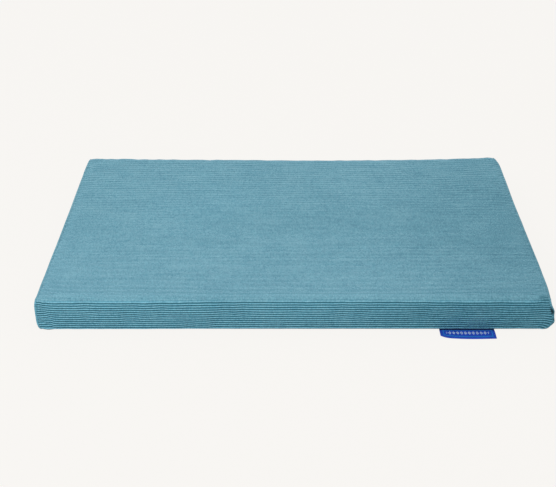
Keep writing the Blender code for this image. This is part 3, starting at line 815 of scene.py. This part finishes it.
def stitches(name, path, length, gap, radius, dip=(0, 0, 0)):
    """A row of separate stitches along a path, whose two ends are moved by dip."""
    per_stitch = 6
    spine = resample(path, (length + gap) / per_stitch)
    part = np.linspace(0, 1, per_stitch)
    sag = 1 - np.sin(math.pi * part) ** 0.6
    shift = np.asarray(dip) * sag[:, None]
    radii = radius * (0.72 + 0.28 * np.sin(math.pi * part) ** 0.5)
    starts = range(0, len(spine) - per_stitch, per_stitch)
    parts = [tube(spine[k : k + per_stitch] + shift, radii) for k in starts]
    return mesh_object(name, *merge(parts))


def build_seam_thread(which):
    """Along a side seam, from under the front to under the back."""
    run = np.linspace(-0.001, run_at_back_height(0.0035), 900)
    x = np.full_like(run, SIDES[which] * (SEAM_X + 0.0001))
    base, normal = wrap_surface(x, run)
    path = deform(base - normal * 0.00105, base)
    return stitches("stitches_" + which, path, length=0.0026, gap=0.0009, radius=0.00024)


def build_base_thread():
    x, y = BASE_HALF_X + 0.0001, BASE_HALF_Y + 0.0001
    base = resample([(-x, -y, 0), (x, -y, 0), (x, y, 0), (-x, y, 0), (-x, -y, 0)], 0.002)
    path = deform(base + np.array([0, 0, 0.00095]), base)
    return stitches(
        "stitches_base", path, length=0.0028, gap=0.0010, radius=0.00024, dip=(0, 0, 0.0002)
    )


# ------------------------------------------------------------------ zip
def build_tape(half):
    """A woven tape with rounded edges and a slight ripple along its length."""
    low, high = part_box("zip_tape_" + half)
    coil_z, far_z = (low.z, high.z) if half == "upper" else (high.z, low.z)
    stations = np.array([0, 0.03, 0.07, 0.11, 0.16, 0.24, 0.34, 0.46, 0.6, 0.75, 0.9, 0.97, 1.0])
    x, across = np.meshgrid(np.linspace(low.x, high.x, 180), stations, indexing="ij")
    z = coil_z + (far_z - coil_z) * across
    edge = 0.05
    near_round = np.sqrt(np.clip(1 - np.clip(1 - across / edge, 0, 1) ** 2, 0.02, 1))
    far_round = np.sqrt(np.clip(1 - np.clip((across - (1 - edge)) / edge, 0, 1) ** 2, 0.02, 1))
    thickness = (high.y - low.y) / 2 * near_round * far_round * 0.9
    ripple = 0.00006 * np.sin(x * 2 * math.pi / 0.034 + across * 2) * across
    middle = (low.y + high.y) / 2 + ripple
    outer = np.stack([x, middle + thickness, z], -1)
    inner = np.stack([x, middle - thickness, z], -1)
    name = "zip_tape_" + half + "_cloth"
    return thick_sheet(name, outer, inner, 1, 1, {"across": across, "along": x})


def build_coil(half):
    """One monofilament, wound in flattened loops."""
    low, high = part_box("zip_coil_" + half)
    sign = 1 if half == "upper" else -1
    wire_r = 0.00030
    middle_y, half_y = (low.y + high.y) / 2, (high.y - low.y) / 2 - wire_r
    middle_z, half_z = (low.z + high.z) / 2, (high.z - low.z) / 2 - wire_r
    pitch, per_turn = 0.00142, 9
    turns = int((high.x - low.x - 2 * wire_r) / pitch)
    turn = np.arange(turns * per_turn + 1) / per_turn
    # the lower half is set half a pitch along
    x = low.x + wire_r + turn * pitch + (0.5 * pitch if half == "lower" else 0.0)
    keep = x < high.x - wire_r
    angle, x = 2 * math.pi * turn[keep], x[keep]
    cosine, sine = np.cos(angle), np.sin(angle)
    z = middle_z - sign * half_z * np.sign(cosine) * np.abs(cosine) ** 0.8
    y = middle_y + half_y * np.sign(sine) * np.abs(sine) ** 0.8
    # loops are fatter by the zip's centre line
    radius = wire_r * (0.92 + 0.08 * np.clip(cosine, 0, 1) ** 3)
    return mesh_object("zip_coil_" + half + "_loops", *tube(np.stack([x, y, z], 1), radius))


def build_zip_stitch(half):
    low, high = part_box("zip_stitch_" + half)
    z, y = (low.z + high.z) / 2, (low.y + high.y) / 2
    x = np.linspace(low.x, high.x, 600)
    base = np.stack([x, np.full_like(x, HALF_DEPTH), np.full_like(x, z)], 1)
    path = np.stack([x, np.full_like(x, y - 0.00005), z + 0.00006 * np.sin(x * 900)], 1)
    return stitches(
        "zip_stitches_" + half, deform(path, base),
        length=0.0026, gap=0.0008, radius=0.00021, dip=(0, -0.0007, 0),
    )


def build_tack(which):
    """A bar tack: thread run to and fro over the end of the zip."""
    low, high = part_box("bar_tack_" + which)
    passes = int((high.z - low.z) / 0.00036)
    turns_x = (low.x + 0.00025, high.x - 0.00025)
    y = (low.y + high.y) / 2 - 0.00002
    points = []
    for k in range(passes + 1):
        z = low.z + 0.0003 + (high.z - low.z - 0.0006) * k / passes
        points.append((turns_x[k % 2], y, z))
    return mesh_object("bar_tack_" + which + "_thread", *tube(resample(points, 0.0004), 0.00020))


# ------------------------------------------------------------------ the woven tab
# Outline of the free edge: share of the width, reach out of the seam in mm
TAB_SHARE = [0, 0.02, 0.045, 0.09, 0.2, 0.37, 0.6, 0.97, 1.0]
TAB_REACH = [15.2, 16.4, 17.6, 18.6, 19.8, 20.5, 20.6, 20.5, 20.1]


def build_label():
    """A ribbon folded in half: the fold is the free edge, and both ends go into the front seam."""
    share = np.linspace(0, 1, 73)[:, None]
    reach = np.interp(share, TAB_SHARE, TAB_REACH) / 1000
    hidden = 0.0026  # the part in the seam
    rows = np.concatenate([np.linspace(0, 0.9, 22), [0.94, 0.97, 0.99]])
    out = rows * (reach + hidden) - hidden
    x = TAB_LEFT + (TAB_RIGHT - TAB_LEFT) * share
    y = TAB_ROOT - out
    # in the seam the two layers lie together; outside they part a little towards the fold
    parting = ease(out, 0, 0.012)
    curl = 0.0009 * ease(share, 0.16, -0.16) * ease(out, 0.008, 0.010)
    wave = 0.00022 * np.sin(share * 7.0 + 0.6) * ease(out, 0, 0.010)
    middle_z = 0.00050 + 0.00030 * parting + curl + wave
    spread = 0.00022 + 0.00016 * parting
    top = np.stack(np.broadcast_arrays(x, y, middle_z + spread), -1)
    bottom = np.stack(np.broadcast_arrays(x, y, np.maximum(middle_z - spread, 0.00004)), -1)
    # round the fold at the free edge
    tip = (top[:, -1] + bottom[:, -1]) / 2
    tip[:, 1] -= 0.00042

    def shoulder(edge):
        points = edge * (1 - 0.62) + tip * 0.62
        points[:, 2] = edge[:, 2] * 0.72 + tip[:, 2] * 0.28
        return points[:, None]

    rounding = [shoulder(top[:, -1]), tip[:, None], shoulder(bottom[:, -1])]
    grid = np.concatenate([top, *rounding, bottom[:, ::-1]], 1)
    last = len(rows) - 1
    over_and_back = [*range(last + 1), last, last, last, *range(last, -1, -1)]
    along = out[:, over_and_back]
    upper = np.arange(len(over_and_back)) <= last + 1
    marks = {
        "u": np.broadcast_to(share * (TAB_RIGHT - TAB_LEFT), along.shape),
        "v": along,
        "free": reach - along,  # distance to the free edge
        "upper": np.broadcast_to(upper, along.shape),
    }
    normal = np.cross(np.gradient(grid, axis=1), np.gradient(grid, axis=0))
    normal /= np.linalg.norm(normal, axis=2, keepdims=True) + 1e-12
    return thick_sheet("woven_label", grid, grid - normal * 0.00016, 1, 1, marks)


# ------------------------------------------------------------------ pieces
# object, the frame node it replaces, its slot, its material
PIECES = [
    (build_main_panel(), "main_panel", "corduroy", "corduroy"),
    (build_back_strip(), "back_strip", "corduroy", "corduroy"),
    *[(build_end_panel(w), "end_panel_" + w, "corduroy", "corduroy") for w in SIDES],
    (build_foam(), "foam_core", "foam", "foam"),
    (build_base(), "base_panel", "grip_base", "base"),
    (build_dots(), None, "grip_base", "dots"),
    *[(build_seam_thread(w), "seam_thread_" + w, "thread", "seam thread") for w in SIDES],
    (build_base_thread(), "seam_thread_base", "thread", "seam thread"),
    *[(build_tape(h), "zip_tape_" + h, "zip_tape", "tape") for h in HALVES],
    *[(build_coil(h), "zip_coil_" + h, "zip_coil", "coil") for h in HALVES],
    *[(build_zip_stitch(h), "zip_stitch_" + h, "thread", "zip thread") for h in HALVES],
    *[(build_tack(w), "bar_tack_" + w, "thread", "zip thread") for w in SIDES],
]
label = build_label()

for obj, node_name, slot_name, _ in PIECES:
    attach(obj, "pad")
    if node_name:
        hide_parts(node_name)
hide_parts("woven_tab")
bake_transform(label)


# ------------------------------------------------------------------ node helpers
class Channel:
    """A grey node output. Arithmetic on it adds one Math node for each operation."""

    def __init__(self, graph, socket):
        self.graph = graph
        self.socket = socket

    def __add__(self, other):
        return self.graph.math("ADD", self, other)

    def __sub__(self, other):
        return self.graph.math("SUBTRACT", self, other)

    def __rsub__(self, other):
        return self.graph.math("SUBTRACT", other, self)

    def __mul__(self, other):
        return self.graph.math("MULTIPLY", self, other)

    def __truediv__(self, other):
        return self.graph.math("DIVIDE", self, other)

    def __gt__(self, other):
        return self.graph.math("GREATER_THAN", self, other)

    def __lt__(self, other):
        return self.graph.math("LESS_THAN", self, other)

    def __abs__(self):
        return self.graph.math("ABSOLUTE", self)

    def sine(self):
        return self.graph.math("SINE", self)

    def times_plus(self, factor, addend):
        return self.graph.math("MULTIPLY_ADD", self, factor, addend)

    def clamped(self):
        """Clamps the node that made this output to 0..1."""
        self.socket.node.use_clamp = True
        return self


class Graph:
    """A material and shorthands for building its nodes."""

    def __init__(self, name):
        self.material = bpy.data.materials.new(name)
        self.material.use_nodes = True
        self.tree = self.material.node_tree
        self.coord = self.node("TexCoord").outputs["Object"]

    def node(self, kind, **settings):
        made = self.tree.nodes.new("ShaderNode" + kind)
        for key, value in settings.items():
            setattr(made, key, value)
        return made

    def feed(self, socket, given):
        """Links an output, or sets a number or an RGB colour."""
        if isinstance(given, Channel):
            given = given.socket
        if isinstance(given, bpy.types.NodeSocket):
            self.tree.links.new(given, socket)
        else:
            socket.default_value = (*given, 1.0) if isinstance(given, tuple) else given

    def math(self, operation, first, second=0.0, third=None):
        made = self.node("Math", operation=operation)
        self.feed(made.inputs[0], first)
        self.feed(made.inputs[1], second)
        if third is not None:
            self.feed(made.inputs[2], third)
        return Channel(self, made.outputs[0])

    def attr(self, name):
        return Channel(self, self.node("Attribute", attribute_name=name).outputs["Fac"])

    def texture(self, kind, scale, output, **settings):
        """A texture in object space, scaled along each axis."""
        made = self.node(kind, **settings)
        mapping = self.node("Mapping")
        mapping.inputs["Scale"].default_value = scale
        self.feed(mapping.inputs["Vector"], self.coord)
        self.feed(made.inputs["Vector"], mapping.outputs[0])
        made.inputs["Scale"].default_value = 1.0
        return Channel(self, made.outputs[output])

    def noise(self, scale, detail=2.0, rough=0.5, distortion=0.0):
        channel = self.texture("TexNoise", scale, "Fac")
        inputs = channel.socket.node.inputs
        inputs["Detail"].default_value = detail
        inputs["Roughness"].default_value = rough
        inputs["Distortion"].default_value = distortion
        return channel

    def voronoi(self, scale):
        return self.texture("TexVoronoi", scale, "Distance")

    def wave(self, direction, scale, distortion):
        channel = self.texture("TexWave", (1, 1, 1), "Fac", bands_direction=direction)
        inputs = channel.socket.node.inputs
        inputs["Scale"].default_value = scale
        inputs["Distortion"].default_value = distortion
        return channel

    def ramp(self, source, stops):
        """stops: (position, RGB colour) pairs."""
        made = self.node("ValToRGB")
        elements = made.color_ramp.elements
        while len(elements) < len(stops):
            elements.new(0.5)
        for element, (position, colour) in zip(elements, stops):
            element.position = position
            element.color = (*colour, 1.0)
        self.feed(made.inputs[0], source)
        return made.outputs[0]

    def mix(self, factor, first, second, blend="MIX"):
        made = self.node("Mix", data_type="RGBA", blend_type=blend)
        self.feed(made.inputs["Factor"], factor)
        self.feed(made.inputs["A"], first)
        self.feed(made.inputs["B"], second)
        return made.outputs["Result"]

    def tint(self, colour, by):
        return self.mix(1.0, colour, by, "MULTIPLY")

    def brighten(self, colour, amount):
        """Colour times a grey amount (1 leaves it as it is)."""
        made = self.node("VectorMath", operation="SCALE")
        self.feed(made.inputs[0], colour)
        self.feed(made.inputs["Scale"], amount)
        return made.outputs[0]

    def bump(self, height, distance, strength):
        made = self.node("Bump")
        made.inputs["Distance"].default_value = distance
        made.inputs["Strength"].default_value = strength
        self.feed(made.inputs["Height"], height)
        return made.outputs[0]

    def finish(
        self, colour, rough, normal, specular, metallic=0.0, sheen=0.0, sheen_tint=(1, 1, 1)
    ):
        inputs = self.tree.nodes["Principled BSDF"].inputs
        for key, given in (
            ("Base Color", colour),
            ("Roughness", rough),
            ("Specular IOR Level", specular),
            ("Metallic", metallic),
            ("Sheen Weight", sheen),
            ("Sheen Roughness", 0.45),
            ("Sheen Tint", sheen_tint),
            ("Normal", normal),
        ):
            self.feed(inputs[key], given)
        return self.material


# ------------------------------------------------------------------ materials
# Corduroy colours from the bottom of a groove to the crest of a rib. The pile is deeper in colour
# down a rib's sides, and the dark grooves are also painted shade.
SHADED_GROOVE = (0.022, 0.118, 0.162)
LOW_FLANK = (0.056, 0.200, 0.264)
FLANK = (0.154, 0.374, 0.484)
CREST = (0.238, 0.462, 0.582)


def corduroy():
    g = Graph("corduroy")
    rib = g.attr("rib")
    pile = g.noise(scale=(420, 1500, 1500), detail=3.0, rough=0.65)  # fibre tips
    tuft = g.noise(scale=(640, 340, 340), rough=0.6)
    streak = g.noise(scale=(24, 250, 250), rough=0.6)  # one rib differs from the next
    broken = g.noise(scale=(30, 42, 42), rough=0.6)
    # patches brushed one way or the other
    nap = g.noise(scale=(34, 26, 34), detail=4.0, rough=0.62, distortion=0.4)
    patch = g.noise(scale=(7, 9, 9))
    # the groove end of this ramp is partly painted shade in the grooves
    base = g.ramp(rib, [(0.0, SHADED_GROOVE), (0.45, LOW_FLANK), (0.76, FLANK), (0.97, CREST)])

    # amount is a grey multiplier around 1; y runs towards the back
    split = g.node("SeparateXYZ")
    g.feed(split.inputs[0], g.coord)
    y = Channel(g, split.outputs["Y"])
    amount = (pile - 0.5).times_plus(0.42, 1.0)
    amount = (tuft - 0.5).times_plus(y.times_plus(0.5, 0.95), amount)
    # lighter ribs in broken runs: a wave whose phase is a cubic in y, stronger towards the back
    wander = g.noise(scale=(17, 11, 14), detail=1.0)
    phase = y.times_plus(-149.3, 60.7).times_plus(y, 133.4) * y * (2 * math.pi)
    phase = wander.times_plus(6.5, phase)
    far = ((y + 0.030) * 6.2).clamped()
    near = abs(y + 0.100).times_plus(-20.0, 1.0).clamped()
    strength = near.times_plus(0.42, far)
    broken_run = (broken - 0.42).times_plus(3.2, 0.5).clamped()
    amount = amount + phase.sine() * strength * broken_run.times_plus(0.140, 0.040)
    amount = (streak - 0.5).times_plus(y.times_plus(0.30, 0.36), amount)
    amount = (nap - 0.5).times_plus(0.21, amount)
    amount = (patch - 0.5).times_plus(0.10, amount)

    # lighter pile is also greyer, so red moves more than blue; red also varies by fibre
    pale = amount - 1.0
    heather = g.noise(scale=(330, 290, 290), detail=1.0).times_plus(0.22, 0.89)
    channels = g.node("CombineXYZ")
    for socket, gain, level in zip(channels.inputs, (0.46, 0.0, -0.19), (heather, 1.0, 1.0)):
        g.feed(socket, pale.times_plus(gain, level))
    base = g.tint(base, channels.outputs[0])

    # painted shade on the front fold and the rolled rims (edge), darker at the seams, and the
    # painted shade from add_shade
    amount = g.attr("edge").times_plus(-0.19, amount)
    amount = g.attr("end").times_plus(-0.05, amount)
    amount = g.attr("shade").times_plus(-1.0, amount)
    colour = g.brighten(base, amount)
    # the painted shade from add_shade is also bluer
    colour = g.mix(g.attr("shade"), colour, g.tint(colour, (0.62, 1.03, 1.14)))
    # on the walls, lit from above: painted shade deeper in the grooves and a painted highlight on
    # the crests, both more saturated
    wall_light_and_shade = g.brighten(colour, rib.times_plus(0.38, 0.79))
    colour = g.mix(g.attr("wall"), colour, g.tint(wall_light_and_shade, (0.905, 1.070, 1.100)))
    # the painted shade on the fold and rims also takes out some red
    pressed = (g.attr("edge") * 1.0).clamped()
    colour = g.mix(pressed, colour, g.tint(colour, (0.85, 1.0, 1.01)))
    # fluffed fibres are greyer
    colour = g.mix(((nap - 0.5) * 0.35).clamped(), colour, (0.235, 0.400, 0.480))
    # painted shade in the open seam, and two dark marks at its pulled stitches
    colour = g.mix((g.attr("dark") * 0.97).clamped(), colour, (0.002, 0.012, 0.018))
    return g.finish(
        colour,
        rough=nap.times_plus(0.12, 0.82),
        normal=g.bump(tuft.times_plus(0.6, pile), distance=0.00022, strength=0.75),
        specular=0.10, sheen=0.18, sheen_tint=(0.62, 0.86, 1.0),
    )


def foam_material():
    g = Graph("foam")
    cells = g.voronoi(scale=(900, 900, 900))
    big_cells = g.voronoi(scale=(330, 330, 330))
    drift = g.noise(scale=(30, 30, 30), detail=3.0)
    colour = g.ramp(cells, [(0.05, (0.30, 0.33, 0.35)), (0.55, (0.56, 0.59, 0.61))])
    colour = g.brighten(colour, drift.times_plus(0.25, 0.88))
    normal = g.bump(big_cells.times_plus(0.5, cells), distance=0.0006, strength=0.8)
    return g.finish(colour, rough=0.95, normal=normal, specular=0.1)


def base_material():
    g = Graph("grip_base_cloth")
    warp = g.wave("X", scale=420, distortion=0.6)
    weft = g.wave("Y", scale=420, distortion=0.6)
    weave = warp * weft
    dust = g.noise(scale=(60, 60, 60), detail=4.0, rough=0.6)
    colour = g.ramp(weave, [(0.0, (0.016, 0.019, 0.022)), (0.6, (0.055, 0.060, 0.066))])
    colour = g.mix(((dust - 0.45) * 0.5).clamped(), colour, (0.12, 0.12, 0.12))
    colour = g.mix(g.attr("rim") * 0.4, colour, (0.03, 0.05, 0.06))
    normal = g.bump(weave, distance=0.0003, strength=0.7)
    return g.finish(colour, rough=0.88, normal=normal, specular=0.2, sheen=0.1)


def dot_material():
    g = Graph("grip_dots")
    grain = g.noise(scale=(900, 900, 900), detail=3.0, rough=0.6)
    wear = g.noise(scale=(55, 55, 55), detail=3.0, rough=0.6)
    colour = g.ramp(wear, [(0.3, (0.020, 0.021, 0.023)), (0.75, (0.060, 0.060, 0.060))])
    normal = g.bump(grain, distance=0.0001, strength=0.5)
    return g.finish(colour, rough=wear.times_plus(0.35, 0.38), normal=normal, specular=0.4)


def thread_material(name, dark, light):
    g = Graph(name)
    twist = g.noise(scale=(2600, 1400, 1400))
    drift = g.noise(scale=(90, 90, 90))
    colour = g.ramp(twist, [(0.35, dark), (0.65, light)])
    colour = g.brighten(colour, drift.times_plus(0.3, 0.85))
    normal = g.bump(twist, distance=0.0001, strength=0.6)
    return g.finish(colour, rough=0.7, normal=normal, specular=0.25, sheen=0.15)


def tape_material():
    g = Graph("zip_tape")
    across, along = g.attr("across"), g.attr("along")
    # twill: fine diagonals that change hand at lines along the tape
    hand = g.math("PINGPONG", across * 11.2, 3.7)
    phase = hand * 0.9 + along * 1000.0
    twill = (phase * 5.2).sine().times_plus(0.5, 0.5)
    fuzz = g.noise(scale=(900, 900, 900), detail=3.0)
    colour = g.ramp(twill, [(0.1, (0.032, 0.098, 0.128)), (0.85, (0.090, 0.215, 0.270))])
    colour = g.brighten(colour, fuzz.times_plus(0.5, 0.75))
    normal = g.bump(twill + fuzz, distance=0.00012, strength=0.7)
    return g.finish(colour, rough=0.8, normal=normal, specular=0.2, sheen=0.1)


def coil_material():
    g = Graph("zip_coil")
    drift = g.noise(scale=(160, 500, 500), detail=3.0)
    scuff = g.noise(scale=(1200, 1200, 1200), detail=3.0, rough=0.7)
    colour = g.ramp(drift, [(0.3, (0.060, 0.165, 0.215)), (0.7, (0.098, 0.225, 0.282))])
    colour = g.mix(((scuff - 0.55) * 1.2).clamped(), colour, (0.24, 0.36, 0.41))
    normal = g.bump(scuff, distance=0.00003, strength=0.4)
    return g.finish(colour, rough=scuff.times_plus(0.3, 0.22), normal=normal, specular=0.5)


def metal_material():
    g = Graph("zip_metal")
    brush = g.noise(scale=(260, 5200, 5200), detail=3.0, rough=0.6)
    tarnish = g.noise(scale=(420, 420, 420), detail=4.0, rough=0.6)
    pointiness = Channel(g, g.node("NewGeometry").outputs["Pointiness"])
    worn = ((pointiness - 0.51) * 9.0).clamped()
    colour = g.ramp(tarnish, [(0.3, (0.36, 0.35, 0.33)), (0.7, (0.60, 0.59, 0.57))])
    colour = g.mix(worn, colour, (0.80, 0.79, 0.77))
    normal = g.bump(brush, distance=0.00003, strength=0.5)
    rough = brush.times_plus(0.28, 0.20)
    return g.finish(colour, rough, normal, specular=0.5, metallic=1.0)


def label_material():
    """Woven satin in royal blue. A paler line runs round inside the edge, and a row of small
    lozenges runs inside it. Distances are in mm."""
    g = Graph("woven_label")
    across, out, free, upper = (g.attr(name) for name in ("u", "v", "free", "upper"))
    across, out, free = (distance * 1000.0 for distance in (across, out, free))
    width = (TAB_RIGHT - TAB_LEFT) * 1000

    def band(distance, centre, half, soft=0.18):
        off_centre = abs(distance - centre)
        return (1.0 - ((off_centre - (half - soft)) / (2 * soft)).clamped()).clamped()

    inside_free = free > 3.4
    inside_width = (across > 3.6) * (across < width - 3.2)
    free_line = band(free, centre=4.4, half=0.85) * inside_width
    left_line = band(across, centre=4.2, half=0.55) * inside_free
    right_line = band(across, centre=width - 3.8, half=0.55) * inside_free
    seam_line = band(out, centre=2.6, half=0.5) * inside_width
    side_lines = g.math("MAXIMUM", right_line, seam_line)
    frame_line = g.math("MAXIMUM", g.math("MAXIMUM", free_line, left_line), side_lines)
    # lozenge outlines
    pitch = 4.6
    from_centre = abs(g.math("FRACT", across / pitch) - 0.5) * pitch
    lozenge = from_centre + abs(out - 8.6) * 0.52
    ring = (lozenge < 1.85) * (lozenge > 0.70)
    span = (across > 7.5) * (across < width - 7.6)
    motif = ring * span * upper
    # threads
    warp = (across * (2 * math.pi / 0.34)).sine().times_plus(0.5, 0.5)
    weft = (out * (2 * math.pi / 0.26)).sine().times_plus(0.5, 0.5)
    fuzz = g.noise(scale=(1500, 1500, 1500))
    gloss = g.noise(scale=(120, 260, 260), detail=3.0)
    colour = g.ramp(gloss, [(0.3, (0.0055, 0.046, 0.470)), (0.7, (0.0075, 0.072, 0.600))])
    colour = g.mix(frame_line, colour, (0.002, 0.200, 0.680))
    colour = g.mix(motif * 0.90, colour, (0.56, 0.70, 0.94))
    shade = (warp * weft).times_plus(0.35, fuzz.times_plus(0.3, 0.68))
    # painted shade on the tab where it comes out from under the foot of the pad
    root_shade = ((out - 1.3) / 1.5).clamped()  # dark where it leaves the seam
    colour = g.brighten(colour, shade * root_shade.times_plus(0.88, 0.12))
    height = warp * 0.5 + motif.times_plus(0.8, weft)
    return g.finish(
        colour,
        rough=0.55,
        normal=g.bump(height, distance=0.00006, strength=0.8),
        specular=0.3, sheen=0.12, sheen_tint=(0.6, 0.75, 1.0),
    )


def add_shade(obj):
    """Marks painted shade, mostly towards the right end as if the light fell off away from the
    left, and where the walls are.
    """
    x, y, z = coords(obj).T
    wall = ease(z, 0.0385, -0.004) * ease(y, -0.190, -0.006)
    # painted shade on the top: darker towards the right end, less so at the back, a little darker
    # towards the front, with a lighter patch left of the middle and a darker one at the right front
    on_top = 0.12 * ease(x, 0.08, 0.18) + 0.03 * ease(x, 0.20, 0.12)
    on_top = on_top * (1 - 0.45 * ease(y, 0.02, 0.14)) + 0.03 * (1 - ease(y, -0.06, 0.14))
    on_top -= 0.055 * bell(x, -0.12, 0.09) * bell(y, 0.02, 0.10)
    on_top += 0.045 * bell(x, 0.20, 0.10) * bell(y, -0.07, 0.06)
    # painted shade on the front wall, darker towards the right end
    on_wall = 0.07 * ease(x, -0.02, 0.12) + 0.17 * ease(x, 0.08, 0.12)
    shade = on_top * (1 - wall) + on_wall * wall
    # painted reflection of the blue tab and painted shade on the wall over it: a bluer, duller
    # patch
    tab_reflection_and_shade = ease(x, 0.165, 0.02) * ease(x, 0.250, -0.02) * ease(z, 0.016, -0.010)
    shade += 0.07 * tab_reflection_and_shade * wall
    # painted shadow at the foot of the wall where the tab comes out
    foot = ease(x, TAB_LEFT - 0.001, 0.003) * ease(x, TAB_RIGHT + 0.001, -0.003)
    shade += 0.32 * foot * ease(y, -0.192, -0.004) * (1 - ease(z, 0.0008, 0.0020))
    add_attribute(obj.data, "shade", shade)
    add_attribute(obj.data, "wall", 1 - ease(z, 0.0366, 0.0030))


def paint(obj, material):
    obj.data.materials.clear()
    obj.data.materials.append(material)


MATERIALS = {
    "corduroy": corduroy(),
    "foam": foam_material(),
    "base": base_material(),
    "dots": dot_material(),
    "seam thread": thread_material(
        "seam_thread", dark=(0.030, 0.090, 0.115), light=(0.075, 0.190, 0.240)
    ),
    "zip thread": thread_material(
        "zip_thread", dark=(0.055, 0.150, 0.190), light=(0.130, 0.290, 0.360)
    ),
    "tape": tape_material(),
    "coil": coil_material(),
}
metal = metal_material()
for obj, _, _, material_name in PIECES:
    if material_name == "corduroy":
        add_shade(obj)
    paint(obj, MATERIALS[material_name])
paint(label, label_material())


# ------------------------------------------------------------------ metal parts kept from the frame
METAL_EDGES = {  # node: width of its rounded edges
    "zip_slider": 0.00022,
    "zip_pull": 0.00022,
    "zip_bottom_stop": 0.00025,
    "zip_top_stop_upper": 0.00025,
    "zip_top_stop_lower": 0.00025,
}
for name, width in METAL_EDGES.items():
    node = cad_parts[name]
    for material_slot in node.material_slots:
        material_slot.material = metal
    if not node.material_slots:
        node.data.materials.append(metal)
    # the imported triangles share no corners, so they are joined before their edges are rounded
    join = node.modifiers.new("Joined corners", "WELD")
    join.merge_threshold = 0.00001
    bevel = node.modifiers.new("Rounded edges", "BEVEL")
    bevel.width = width
    bevel.segments = 3
    bevel.limit_method = "ANGLE"
    bevel.angle_limit = math.radians(35)
    bevel.harden_normals = False


# ------------------------------------------------------------------ stage
PAPER = (0.931, 0.913, 0.888, 1)  # background colour
SKY_LOW, SKY_HIGH = 0.70, 0.99  # sky strength near the horizon and overhead
KEY_POWER = 9.6


def camera_only(tree, seen, unseen, weight=1.0):
    """Mixes two shaders: seen for rays straight from the camera, unseen for bounced light."""
    is_camera = tree.nodes.new("ShaderNodeLightPath").outputs["Is Camera Ray"]
    mixer = tree.nodes.new("ShaderNodeMixShader")
    if weight != 1.0:
        scale = tree.nodes.new("ShaderNodeMath")
        scale.operation = "MULTIPLY"
        scale.inputs[1].default_value = weight
        tree.links.new(is_camera, scale.inputs[0])
        is_camera = scale.outputs[0]
    tree.links.new(is_camera, mixer.inputs[0])
    tree.links.new(unseen, mixer.inputs[1])
    tree.links.new(seen, mixer.inputs[2])
    return mixer.outputs[0]


def add_floor():
    half = 40
    corners = [(-half, -half, 0), (half, -half, 0), (half, half, 0), (-half, half, 0)]
    mesh = bpy.data.meshes.new("floor")
    mesh.from_pydata(corners, [], [(0, 1, 2, 3)])
    floor = bpy.data.objects.new("floor", mesh)
    SCENE.collection.objects.link(floor)
    material = bpy.data.materials.new("floor")
    material.use_nodes = True
    tree = material.node_tree
    matte = tree.nodes["Principled BSDF"]
    matte.inputs["Base Color"].default_value = (0.60, 0.59, 0.575, 1)
    matte.inputs["Roughness"].default_value = 0.95
    matte.inputs["Specular IOR Level"].default_value = 0.0
    glow = tree.nodes.new("ShaderNodeEmission")
    glow.inputs["Color"].default_value = (0.960, 0.943, 0.917, 1)
    glow.inputs["Strength"].default_value = 1.0
    surface = camera_only(tree, glow.outputs[0], matte.outputs[0], weight=0.93)
    tree.links.new(surface, tree.nodes["Material Output"].inputs["Surface"])
    mesh.materials.append(material)


def add_world():
    """Plain paper to the camera; soft light from above, weaker towards the horizon."""
    world = bpy.data.worlds.new("studio")
    SCENE.world = world
    world.use_nodes = True
    tree = world.node_tree
    room = tree.nodes["Background"]
    room.inputs[0].default_value = PAPER
    room.inputs[1].default_value = 1.0
    coord = tree.nodes.new("ShaderNodeTexCoord")
    split = tree.nodes.new("ShaderNodeSeparateXYZ")
    tree.links.new(coord.outputs["Generated"], split.inputs[0])
    strength = tree.nodes.new("ShaderNodeMapRange")
    strength.interpolation_type = "SMOOTHSTEP"
    strength.inputs["From Min"].default_value = -0.05
    strength.inputs["From Max"].default_value = 0.85
    strength.inputs["To Min"].default_value = SKY_LOW
    strength.inputs["To Max"].default_value = SKY_HIGH
    tree.links.new(split.outputs["Z"], strength.inputs["Value"])
    sky = tree.nodes.new("ShaderNodeBackground")
    sky.inputs[0].default_value = PAPER
    tree.links.new(strength.outputs["Result"], sky.inputs[1])
    surface = camera_only(tree, room.outputs[0], sky.outputs[0])
    tree.links.new(surface, tree.nodes["World Output"].inputs["Surface"])


def add_key_light():
    """A soft square light from the front left, aimed at the origin."""
    key = bpy.data.lights.new("key", "AREA")
    key.shape = "SQUARE"
    key.size = 0.9
    key.energy = KEY_POWER
    key.color = (1.0, 0.985, 0.965)
    obj = bpy.data.objects.new("key", key)
    SCENE.collection.objects.link(obj)
    obj.location = (-1.15, -0.75, 1.45)
    to_origin = Vector((0.0, 0.0, 0.0)) - obj.location
    obj.rotation_euler = to_origin.to_track_quat("-Z", "Y").to_euler()


def add_camera():
    camera = bpy.data.cameras.new("camera")
    obj = bpy.data.objects.new("camera", camera)
    SCENE.collection.objects.link(obj)
    camera.sensor_width = 36
    camera.lens = 73.618705
    camera.shift_x = -0.026079137
    camera.clip_start = 0.01
    obj.location = (0, -1.333, 0.724)
    looks_down = math.radians(28.26)
    obj.rotation_euler = (math.pi / 2 - looks_down, 0, 0)
    SCENE.camera = obj


add_floor()
add_world()
add_key_light()
SCENE.view_settings.view_transform = "Standard"
SCENE.view_settings.look = "None"
add_camera()
